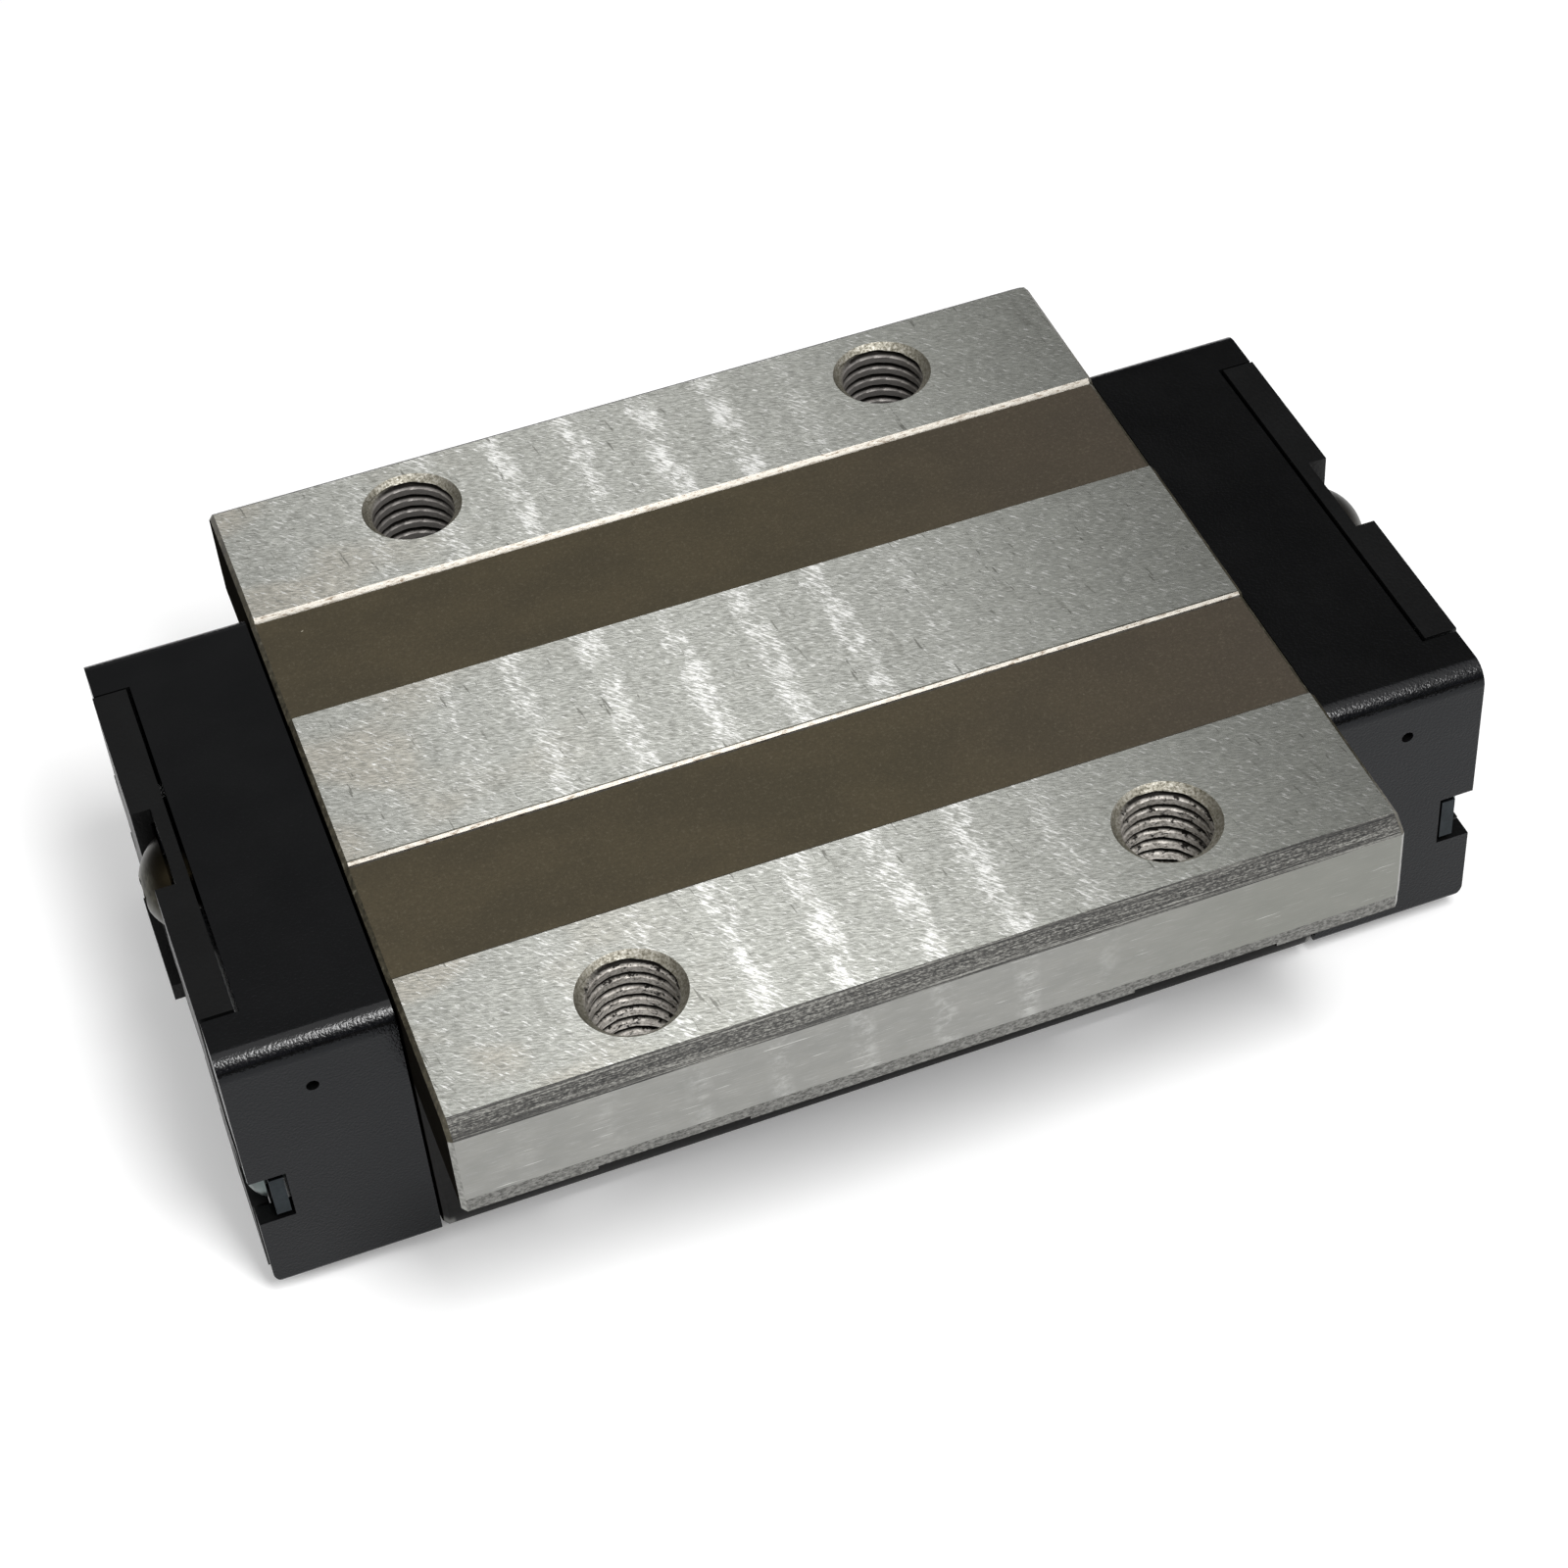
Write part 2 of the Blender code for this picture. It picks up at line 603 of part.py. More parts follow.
def ball_row(points_per_ball, steps):
    """A row of balls on a thin resin link, as one turned solid about its own Z axis."""
    tilt = math.degrees(math.asin(LINK_RADIUS / BALL_RADIUS))
    length = (BALLS_PER_ROW - 1) * BALL_PITCH
    profile = [(0.0, length / 2 + BALL_RADIUS)]
    for i in range(BALLS_PER_ROW):
        centre = length / 2 - i * BALL_PITCH
        sweep = arc((0.0, centre), BALL_RADIUS, 90.0 - tilt, tilt - 90.0, points_per_ball - 1)
        profile += [(r, z) for r, z in sweep]
    profile.append((0.0, -length / 2 - BALL_RADIUS))
    return turned(profile, steps)


def make_ball_rows():
    lie_down = Vector((1.0, 0.0, 0.0)).to_track_quat("Z", "Y").to_euler()
    for side_name, side in SIDES.items():
        for level in LEVELS:
            loaded = ball_row(5, 8)
            loaded.rotation_euler = lie_down
            loaded.location = (0.0, side * LOADED_Y, LOADED_Z[level])
            keep(loaded, f"loaded_balls_{side_name}_{level}", BALL_STEEL)
            back = ball_row(4, 6)
            back.rotation_euler = lie_down
            back.location = (0.0, side * RETURN_Y, RETURN_Z[level])
            keep(back, f"return_balls_{side_name}_{level}", BALL_STEEL)


def make_return_tubes():
    for side_name, side in SIDES.items():
        for level in LEVELS:
            centre = (side * RETURN_Y, RETURN_Z[level])
            walls = [circle(centre, TUBE_OUTER, 16), circle(centre, TUBE_INNER, 16)]
            tube = extrusion(walls, (-INSIDE_REACH, INSIDE_REACH))
            keep(tube, f"return_tube_{side_name}_{level}", TUBE_RESIN)


# ---------------------------------------------------------------- retainers and side seals

def make_upper_retainer():
    """A plate under the channel's roof whose lips hold both upper rows of balls."""
    top = CHANNEL_TOP - GAP
    under = LOADED_Z["upper"] + BALL_RADIUS + GAP
    wall = CHANNEL_HALF - GAP
    lip_in, lip_out = UPPER_LIP_Y
    half = [(0.0, top), (wall, top), (wall, under), (lip_out, under), (lip_out, UPPER_LIP_FOOT),
            (lip_in, UPPER_LIP_FOOT), (lip_in, under), (0.0, under)]
    keep(extrusion([mirrored(half)], (-INSIDE_REACH, INSIDE_REACH)), "upper_retainer", GUIDE_RESIN)


def make_side_retainers():
    """The strips between each side's upper and lower rows of balls."""
    low = LOADED_Z["lower"] + BALL_RADIUS + GAP
    high = LOADED_Z["upper"] - BALL_RADIUS - GAP
    for side_name, side in SIDES.items():
        across = (side * SIDE_STRIP_INNER, side * (CHANNEL_HALF - GAP))
        strip = box((-INSIDE_REACH, INSIDE_REACH), across, (low, high))
        keep(strip, f"side_retainer_{side_name}", GUIDE_RESIN)


def make_side_seals():
    """The long seals under the lower rows, each with a lip that wipes the rail's flank."""
    top = LOADED_Z["lower"] - BALL_RADIUS - GAP
    wall = CHANNEL_HALF - GAP
    foot = SIDE_SEAL_FOOT
    half = [
        (wall, top),
        (wall, foot),
        (SIDE_SEAL_BACK, foot),
        (SIDE_SEAL_LIP, foot + 1.1 * MM),
        (SIDE_SEAL_LIP + 0.2 * MM, foot + 1.4 * MM),
        (SIDE_SEAL_BACK, foot + 1.4 * MM),
        (SIDE_SEAL_BACK, foot + 3.0 * MM),
        (SIDE_SEAL_RIB, foot + 3.6 * MM),
        (SIDE_SEAL_RIB, top),
    ]
    for side_name, side in SIDES.items():
        outline = [(side * y, z) for y, z in half]
        keep(extrusion([outline], (-INSIDE_REACH, INSIDE_REACH)), f"side_seal_{side_name}", SEAL_RUBBER)


def smooth_round_pieces():
    round_names = ("grease_plug", "seal_screw", "cap_screw", "loaded_balls", "return_balls", "return_tube")
    for obj in PARTS.objects:
        if obj.name.startswith(round_names):
            obj.data.shade_smooth()
            obj.data.set_sharp_from_angle(angle=math.radians(35.0))


make_block()
for cap_end in ENDS:
    make_cap(cap_end)
    for cap_side in SIDES:
        make_guide(cap_end, cap_side)
    make_plate(cap_end)
    make_seal(cap_end)
make_screws()
make_ball_rows()
make_return_tubes()
make_upper_retainer()
make_side_retainers()
make_side_seals()
smooth_round_pieces()
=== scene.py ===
"""The looks of a flanged ball carriage for a profile rail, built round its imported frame.

The carriage travels along X, spans Y and has its mounting lands on top. The block and the caps
take their extents from the frame, and the seals and their screws sit against the frame's plates.
The other sizes are named below.
"""

import json
import math

import bmesh
import bpy
from mathutils import Euler, Matrix, Vector
from mathutils.geometry import intersect_point_line


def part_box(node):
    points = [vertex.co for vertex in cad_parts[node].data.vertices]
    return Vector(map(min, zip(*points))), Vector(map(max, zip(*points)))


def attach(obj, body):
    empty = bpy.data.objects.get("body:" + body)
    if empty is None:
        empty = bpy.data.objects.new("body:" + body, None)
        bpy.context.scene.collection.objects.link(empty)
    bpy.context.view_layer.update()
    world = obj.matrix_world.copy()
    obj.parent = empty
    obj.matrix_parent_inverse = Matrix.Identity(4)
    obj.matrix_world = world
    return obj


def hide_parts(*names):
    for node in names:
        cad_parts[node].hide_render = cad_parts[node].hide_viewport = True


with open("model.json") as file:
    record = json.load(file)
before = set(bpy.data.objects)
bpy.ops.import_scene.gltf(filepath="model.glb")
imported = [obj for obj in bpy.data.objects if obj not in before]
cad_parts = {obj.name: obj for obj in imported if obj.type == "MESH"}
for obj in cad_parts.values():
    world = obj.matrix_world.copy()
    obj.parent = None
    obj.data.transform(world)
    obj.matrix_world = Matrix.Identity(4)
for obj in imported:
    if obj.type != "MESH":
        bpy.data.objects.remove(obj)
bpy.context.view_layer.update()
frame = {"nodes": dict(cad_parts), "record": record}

MM = 0.001
GAP = 0.3 * MM  # play between neighbouring parts
PAST = 1.0 * MM  # how far a cutting tool reaches beyond a surface
TWIN = 0.002 * MM  # corners nearer than this are one corner
RIM_TWIN = 0.005 * MM  # the same along the rims of the tapped holes

ENDS = {"left": -1, "right": 1}
SIDES = {"front": -1, "back": 1}
LEVELS = ("upper", "lower")

# Steel block
BLOCK_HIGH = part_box("carriage_block")[1]
HALF_LENGTH = BLOCK_HIGH.x
HALF_WIDTH = BLOCK_HIGH.y
TOP = BLOCK_HIGH.z
CENTRE_LAND = 10.4 * MM
OUTER_LAND = 26.0 * MM
RELIEF_DEPTH = 0.45 * MM
CENTRE_CHAMFER = (0.29 * MM, 0.23 * MM)
OUTER_CHAMFER = (0.42 * MM, 0.34 * MM)
RELIEF_RUN = 0.08 * MM
TOP_CHAMFER_Y = 1.8 * MM
TOP_CHAMFER_Z = 1.35 * MM
GROUND_FOOT = TOP - 9.45 * MM
ROUGH_INSET = 0.12 * MM
UNDER = TOP - 11.5 * MM
UNDER_ROUND = 0.3 * MM
BODY_HALF = 29.5 * MM
BODY_CORNER = 5.0 * MM
CHANNEL_HALF = 16.2 * MM
CHANNEL_TOP = 20.6 * MM
END_CHAMFER = 0.45 * MM

# Tapped holes
HOLE_X = 26.0 * MM
HOLE_Y = 36.0 * MM
MOUTH = 5.2 * MM
THREAD_CREST = 4.25 * MM
THREAD_ROOT = 5.0 * MM
THREAD_PITCH = 1.5 * MM
SEAT_RADIUS = 7.2 * MM
SEAT = UNDER + 0.65 * MM

# Ball circuits
BALL_RADIUS = 2.778 * MM
BALL_PITCH = 6.4 * MM
BALLS_PER_ROW = 14
LINK_RADIUS = 0.8 * MM
LOADED_Y = 14.9 * MM
LOADED_Z = {"upper": 16.6 * MM, "lower": 8.8 * MM}
RETURN_Y = 23.2 * MM
RETURN_Z = {"upper": 17.6 * MM, "lower": 7.8 * MM}
RETURN_BORE = 3.8 * MM
PASSAGE_RADIUS = 3.15 * MM

# Rail and the openings that follow it
RAIL_HALF = 14.0 * MM
RAIL_TOP = 19.0 * MM
RAIL_GROOVE = 2.85 * MM

# End caps
CAP_LOW, CAP_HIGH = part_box("end_cap_right")
CAP_INNER = CAP_LOW.x
CAP_OUTER = CAP_HIGH.x
CAP_HALF = CAP_HIGH.y
CAP_TOP = CAP_HIGH.z
CAP_FOOT = CAP_LOW.z
CAP_ROUND = 2.2 * MM
CAP_FOOT_ROUND = 0.6 * MM
CAP_HEEL_ROUND = 1.5 * MM
POCKET_FLOOR = 59.0 * MM
POCKET_HALF = 22.9 * MM
LEG_POCKET_HALF = 26.7 * MM
LEG_TOP = 19.5 * MM
NOTCH_Z = (11.2 * MM, 17.25 * MM)
NOTCH_X = 59.1 * MM
CAP_EDGE = 0.16 * MM
RUBBED_SLOPE = (0.57, 0.996)  # how far up the rubbed faces point, from the side to the top
DIMPLE = (54.7 * MM, TOP - 7.15 * MM)
DIMPLE_RADIUS = 0.62 * MM
DIMPLE_DEPTH = 0.7 * MM
OPENING_HALF = RAIL_HALF + 0.7 * MM
OPENING_TOP = RAIL_TOP + 0.8 * MM
GUIDE_LOW, GUIDE_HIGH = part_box("return_guide_right_back")

# End seals, plates and screws
SEAL_OUTER = 62.8 * MM
SEAL_HALF = 22.6 * MM
LEG_HALF = 26.4 * MM
SEAL_TOP = CAP_TOP + 0.1 * MM
SEAL_EDGE = 0.12 * MM
SEAL_LIP_Z = 31.9 * MM
LIP_ROOT = 0.5 * MM  # how deep the lip runs into the seal
PLATE_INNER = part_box("seal_plate_right")[0].x
PLATE_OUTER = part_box("seal_plate_right")[1].x
BEAD_PROUD = 1.0 * MM
BEAD_ROOT = 0.8 * MM  # how deep the bead runs into the seal
BEAD_HALF = 6.2 * MM
BEAD_Z = (19.6 * MM, 21.6 * MM)
PLUG_Z = 28.5 * MM
PLUG_HEAD = 4.8 * MM
PLUG_SHANK = 3.0 * MM
PLUG_LENGTH = 9.0 * MM
PLUG_SOCKET = 1.9 * MM
PLUG_HOLE = 3.3 * MM
PLUG_NOTCH_HALF = 5.3 * MM
LEG_SCREW = (24.8 * MM, 14.1 * MM)
LEG_SCREW_HEAD = 2.7 * MM
LEG_SCREW_HEIGHT = 1.65 * MM
LEG_SCREW_SHANK = 1.5 * MM
LEG_SCREW_LENGTH = 5.5 * MM
LEG_SCREW_SOCKET = 1.0 * MM
LEG_SCREW_HOLE = 1.8 * MM
LEG_SCREW_HOLE_END = 55.0 * MM

# Looks
CHATTER_PITCH = 7.93 * MM
CHATTER_PHASE = 0.35 * MM

# Studio
LIGHT_AIM = (0.0, 0.0, 30.0 * MM)
FLOOR_SIZE = 3.0
FLOOR_DROP = 0.05 * MM
CAMERA_LENS = 77.98
CAMERA_PLACE = (-0.06782, -0.23145, 0.26161)
CAMERA_TURN = (44.466, 3.705, -20.195)


# ---------------------------------------------------------------- mesh helpers

def new_object(name, mesh):
    made = bpy.data.objects.new(name, mesh)
    bpy.context.scene.collection.objects.link(made)
    return made


def from_bmesh(name, work):
    mesh = bpy.data.meshes.new(name)
    bmesh.ops.recalc_face_normals(work, faces=work.faces)
    work.to_mesh(mesh)
    work.free()
    return new_object(name, mesh)


def apply_modifiers(obj):
    """Bake an object's modifiers into its mesh."""
    bpy.context.view_layer.update()
    evaluated = obj.evaluated_get(bpy.context.evaluated_depsgraph_get())
    mesh = bpy.data.meshes.new_from_object(evaluated)
    old = obj.data
    obj.modifiers.clear()
    obj.data = mesh
    bpy.data.meshes.remove(old)


def combine(obj, tools, operation="DIFFERENCE"):
    """Cut tools out of a piece, or join them to it, and drop the tools."""
    for tool in tools:
        modifier = obj.modifiers.new(tool.name, "BOOLEAN")
        modifier.operation = operation
        modifier.solver = "EXACT"
        modifier.object = tool
    apply_modifiers(obj)
    for tool in tools:
        bpy.data.objects.remove(tool, do_unlink=True)


def weld(obj):
    """Merge the twin corners that a boolean leaves."""
    work = bmesh.new()
    work.from_mesh(obj.data)
    bmesh.ops.remove_doubles(work, verts=work.verts, dist=TWIN)
    work.to_mesh(obj.data)
    work.free()


def close_slits(work):
    """Split each open edge at the open corner that lies along it, so that the two sides join."""
    corners = [vert for vert in work.verts if vert.is_boundary]
    for edge in [edge for edge in work.edges if edge.is_boundary]:
        start, end = edge.verts
        for corner in corners:
            near, share = intersect_point_line(corner.co, start.co, end.co)
            if 0.01 < share < 0.99 and (corner.co - near).length < RIM_TWIN:
                bmesh.utils.edge_split(edge, start, share)
                break
    bmesh.ops.remove_doubles(work, verts=work.verts, dist=RIM_TWIN)


def merge_flats(obj):
    """Join the coplanar faces that a boolean leaves, so edges can be rounded cleanly."""
    work = bmesh.new()
    work.from_mesh(obj.data)
    bmesh.ops.remove_doubles(work, verts=work.verts, dist=TWIN)
    bmesh.ops.dissolve_limit(work, angle_limit=math.radians(0.5), verts=work.verts, edges=work.edges)
    work.to_mesh(obj.data)
    work.free()


def round_edges(obj, width):
    merge_flats(obj)
    bevel = obj.modifiers.new("rounding", "BEVEL")
    bevel.width = width
    bevel.segments = 2
    bevel.limit_method = "ANGLE"
    bevel.angle_limit = math.radians(35.0)
    bevel.miter_outer = "MITER_ARC"
    apply_modifiers(obj)


def smooth(obj, angle):
    obj.data.shade_smooth()
    obj.data.set_sharp_from_angle(angle=math.radians(angle))


def flatten_normals(obj):
    """Keep broad flat faces flat where narrow rounded edges meet them."""
    weigh = obj.modifiers.new("normals", "WEIGHTED_NORMAL")
    weigh.keep_sharp = True
    weigh.weight = 100
    apply_modifiers(obj)


def box(x_range, y_range, z_range):
    work = bmesh.new()
    bmesh.ops.create_cube(work, size=1.0)
    lows = Vector((min(x_range), min(y_range), min(z_range)))
    highs = Vector((max(x_range), max(y_range), max(z_range)))
    placing = Matrix.Translation((lows + highs) / 2) @ Matrix.Diagonal((*(highs - lows), 1.0))
    bmesh.ops.transform(work, matrix=placing, verts=work.verts)
    return from_bmesh("box", work)


def rod(radius, start, end, sides=32):
    """A cylinder from one point to another."""
    start = Vector(start)
    span = Vector(end) - start
    work = bmesh.new()
    bmesh.ops.create_cone(work, cap_ends=True, segments=sides, radius1=radius, radius2=radius,
                          depth=span.length)
    placing = Matrix.Translation(start + span / 2) @ span.to_track_quat("Z", "Y").to_matrix().to_4x4()
    bmesh.ops.transform(work, matrix=placing, verts=work.verts)
    return from_bmesh("rod", work)


def solid(name, sections):
    """A closed solid along X from matching outlines in (Y, Z), one at each x."""
    work = bmesh.new()
    rings = [[work.verts.new((x, y, z)) for y, z in outline] for x, outline in sections]
    count = len(rings[0])
    for ring, following in zip(rings, rings[1:]):
        for i in range(count):
            j = (i + 1) % count
            work.faces.new((ring[i], ring[j], following[j], following[i]))
    work.faces.new(rings[0][::-1])
    work.faces.new(rings[-1])
    return from_bmesh(name, work)


def turned(name, profile, steps):
    """A turned solid about Z from (radius, height) points that start and end on the axis."""
    work = bmesh.new()
    rings = []
    for radius, height in profile:
        if radius == 0.0:
            rings.append([work.verts.new((0.0, 0.0, height))])
        else:
            angles = [math.tau * i / steps for i in range(steps)]
            rings.append([work.verts.new((radius * math.cos(a), radius * math.sin(a), height))
                          for a in angles])
    for ring, following in zip(rings, rings[1:]):
        for i in range(steps):
            j = (i + 1) % steps
            corners = [ring[i % len(ring)], ring[j % len(ring)],
                       following[j % len(following)], following[i % len(following)]]
            work.faces.new(list(dict.fromkeys(corners)))
    return from_bmesh(name, work)


def lay_along_x(obj, place, end=1):
    """Turn a piece made about Z to lie along X, and put its origin at a point."""
    turn = Vector((end, 0.0, 0.0)).to_track_quat("Z", "Y").to_matrix().to_4x4()
    obj.data.transform(Matrix.Translation(place) @ turn)


# ---------------------------------------------------------------- outlines

def arc(centre, radius, start, end, steps):
    angles = [math.radians(start + (end - start) * i / steps) for i in range(steps + 1)]
    return [(centre[0] + radius * math.cos(a), centre[1] + radius * math.sin(a)) for a in angles]


def mirrored(half):
    """Close an outline whose +Y half runs from its top middle round to its bottom middle."""
    return half + [(-y, z) for y, z in reversed(half) if y > 0.0]


def inset(outline, depths):
    """Move each edge of an outline inwards, edge i (from point i on) by depths[i]."""
    count = len(outline)
    lines = []
    for i in range(count):
        start = Vector(outline[i])
        along = (Vector(outline[(i + 1) % count]) - start).normalized()
        inward = Vector((along.y, -along.x))
        lines.append((start + inward * depths[i], along, inward))
    moved = []
    for i in range(count):
        point_a, along_a, inward_a = lines[i - 1]
        point_b, along_b, inward_b = lines[i]
        cross = along_a.cross(along_b)
        if abs(cross) < 0.05:
            shift = inward_a * depths[i - 1] / 2 + inward_b * depths[i] / 2
            moved.append(tuple(Vector(outline[i]) + shift))
        else:
            reach = (point_b - point_a).cross(along_b) / cross
            moved.append(tuple(point_a + along_a * reach))
    return moved


def block_outline():
    """The block's cross-section, clockwise from its top middle."""
    race = BALL_RADIUS + GAP
    opening = math.degrees(math.acos((CHANNEL_HALF - LOADED_Y) / race))
    floor = TOP - RELIEF_DEPTH
    half = [
        (0.0, TOP),
        (CENTRE_LAND, TOP),
        (CENTRE_LAND + CENTRE_CHAMFER[0], TOP - CENTRE_CHAMFER[1]),
        (CENTRE_LAND + CENTRE_CHAMFER[0] + RELIEF_RUN, floor),
        (OUTER_LAND - OUTER_CHAMFER[0] - RELIEF_RUN, floor),
        (OUTER_LAND - OUTER_CHAMFER[0], TOP - OUTER_CHAMFER[1]),
        (OUTER_LAND, TOP),
        (HALF_WIDTH - TOP_CHAMFER_Y, TOP),
        (HALF_WIDTH, TOP - TOP_CHAMFER_Z),
        (HALF_WIDTH, GROUND_FOOT),
        (HALF_WIDTH - ROUGH_INSET, GROUND_FOOT - ROUGH_INSET),
        (HALF_WIDTH - ROUGH_INSET, UNDER + UNDER_ROUND),
        (HALF_WIDTH - ROUGH_INSET - UNDER_ROUND, UNDER),
        (BODY_HALF, UNDER),
    ]
    half += arc((BODY_HALF - BODY_CORNER, BODY_CORNER), BODY_CORNER, 0.0, -90.0, 12)
    half.append((CHANNEL_HALF, 0.0))
    for level in reversed(LEVELS):
        half += arc((LOADED_Y, LOADED_Z[level]), race, -opening, opening, 16)
    half.append((CHANNEL_HALF, CHANNEL_TOP))
    return mirrored(half)


def in_channel(point):
    return abs(point[0]) <= CHANNEL_HALF + BALL_RADIUS and point[1] < CHANNEL_TOP + GAP


def rail_opening(offset, low):
    """Half outline of an opening that follows the rail, from its top middle to low."""
    bump = RAIL_GROOVE - offset
    side = RAIL_HALF + offset
    top = RAIL_TOP + offset
    upper = LOADED_Z["upper"]
    start = math.degrees(math.asin((top - upper) / bump)) if top - upper < bump else 90.0
    reach = math.degrees(math.acos((LOADED_Y - side) / bump))
    half = [(0.0, top)]
    half += arc((LOADED_Y, upper), bump, 180.0 - start, 180.0 + reach, 14)
    half += arc((LOADED_Y, LOADED_Z["lower"]), bump, 180.0 - reach, 180.0 + reach, 14)
    half.append((side, low))
    return half


# ---------------------------------------------------------------- material graphs

class Graph:
    """A node graph that feeds one shader, with its places taken from one kind of coordinates."""

    def __init__(self, tree, shader, coordinates):
        self.tree = tree
        self.shader = tree.nodes[shader]
        self.place = tree.nodes.new("ShaderNodeTexCoord").outputs[coordinates]

    def feed(self, key, value, node=None):
        socket = (node or self.shader).inputs[key]
        if isinstance(value, bpy.types.NodeSocket):
            self.tree.links.new(value, socket)
        else:
            socket.default_value = value

    def node(self, kind, inputs, output=0, **settings):
        made = self.tree.nodes.new("ShaderNode" + kind)
        for key, value in settings.items():
            setattr(made, key, value)
        for key, value in inputs.items():
            self.feed(key, value, made)
        return made.outputs[output]

    def noise(self, sizes, detail=2.0, rough=0.5, turn=0.0):
        """Noise whose features measure about sizes (X, Y, Z), in metres."""
        place = self.place
        if turn:
            place = self.node("Mapping", {"Vector": place, "Rotation": (0.0, 0.0, math.radians(turn))})
        scaled = self.node("Mapping", {"Vector": place, "Scale": tuple(1.0 / s for s in sizes)})
        return self.node("TexNoise", {"Vector": scaled, "Scale": 1.0, "Detail": detail, "Roughness": rough})

    def ramp(self, factor, *stops):
        """Grey levels or colours at places along a factor."""
        made = self.tree.nodes.new("ShaderNodeValToRGB")
        self.feed(0, factor, made)
        points = made.color_ramp.elements
        while len(points) < len(stops):
            points.new(0.5)
        for point, (place, value) in zip(points, stops):
            color = (value,) * 3 if isinstance(value, float) else value
            point.position = place
            point.color = (*color, 1.0)
        return made.outputs[0]

    def mix(self, factor, a, b, blend="MIX"):
        made = self.tree.nodes.new("ShaderNodeMix")
        made.data_type = "RGBA"
        made.blend_type = blend
        for key, value in ((0, factor), (6, a), (7, b)):
            if isinstance(value, tuple) and len(value) == 3:
                value = (*value, 1.0)
            self.feed(key, value, made)
        return made.outputs[2]

    def math(self, operation, a, b=0.0, c=0.0):
        return self.node("Math", {0: a, 1: b, 2: c}, operation=operation)

    def axis(self, letter):
        split = self.tree.nodes.new("ShaderNodeSeparateXYZ")
        self.feed(0, self.place, split)
        return split.outputs[letter]


class Look(Graph):
    """One material. Coordinates are the object's own, in metres."""

    def __init__(self, name, color, roughness, metallic=0.0, **constants):
        self.material = bpy.data.materials.new(name)
        self.material.use_nodes = True
        super().__init__(self.material.node_tree, "Principled BSDF", "Object")
        self.feed("Base Color", (*color, 1.0))
        self.feed("Roughness", roughness)
        self.feed("Metallic", metallic)
        for key, value in constants.items():
            self.feed(key, value)

    def bump(self, height, distance, strength):
        return self.node("Bump", {"Height": height, "Distance": distance, "Strength": strength})

    def grain_tangent(self):
        """The direction across the grinding lines, along which reflections spread."""
        self.feed("Tangent", self.node("Tangent", {}, direction_type="UV_MAP", uv_map="grain"))


def chatter_sheen_bands(look):
    """Waves that the grinding wheel leaves across the travel, 1 at each crest and narrow: where painted
    highlights go.
    """
    wander = look.noise((9.0 * MM, 5.0 * MM, 9.0 * MM), detail=2.0)
    shift = look.math("MULTIPLY_ADD", wander, 2.4 * MM, -1.2 * MM - CHATTER_PHASE)
    along = look.math("ADD", look.axis("X"), shift)
    return look.math("COSINE", look.math("MULTIPLY", along, math.tau / CHATTER_PITCH))


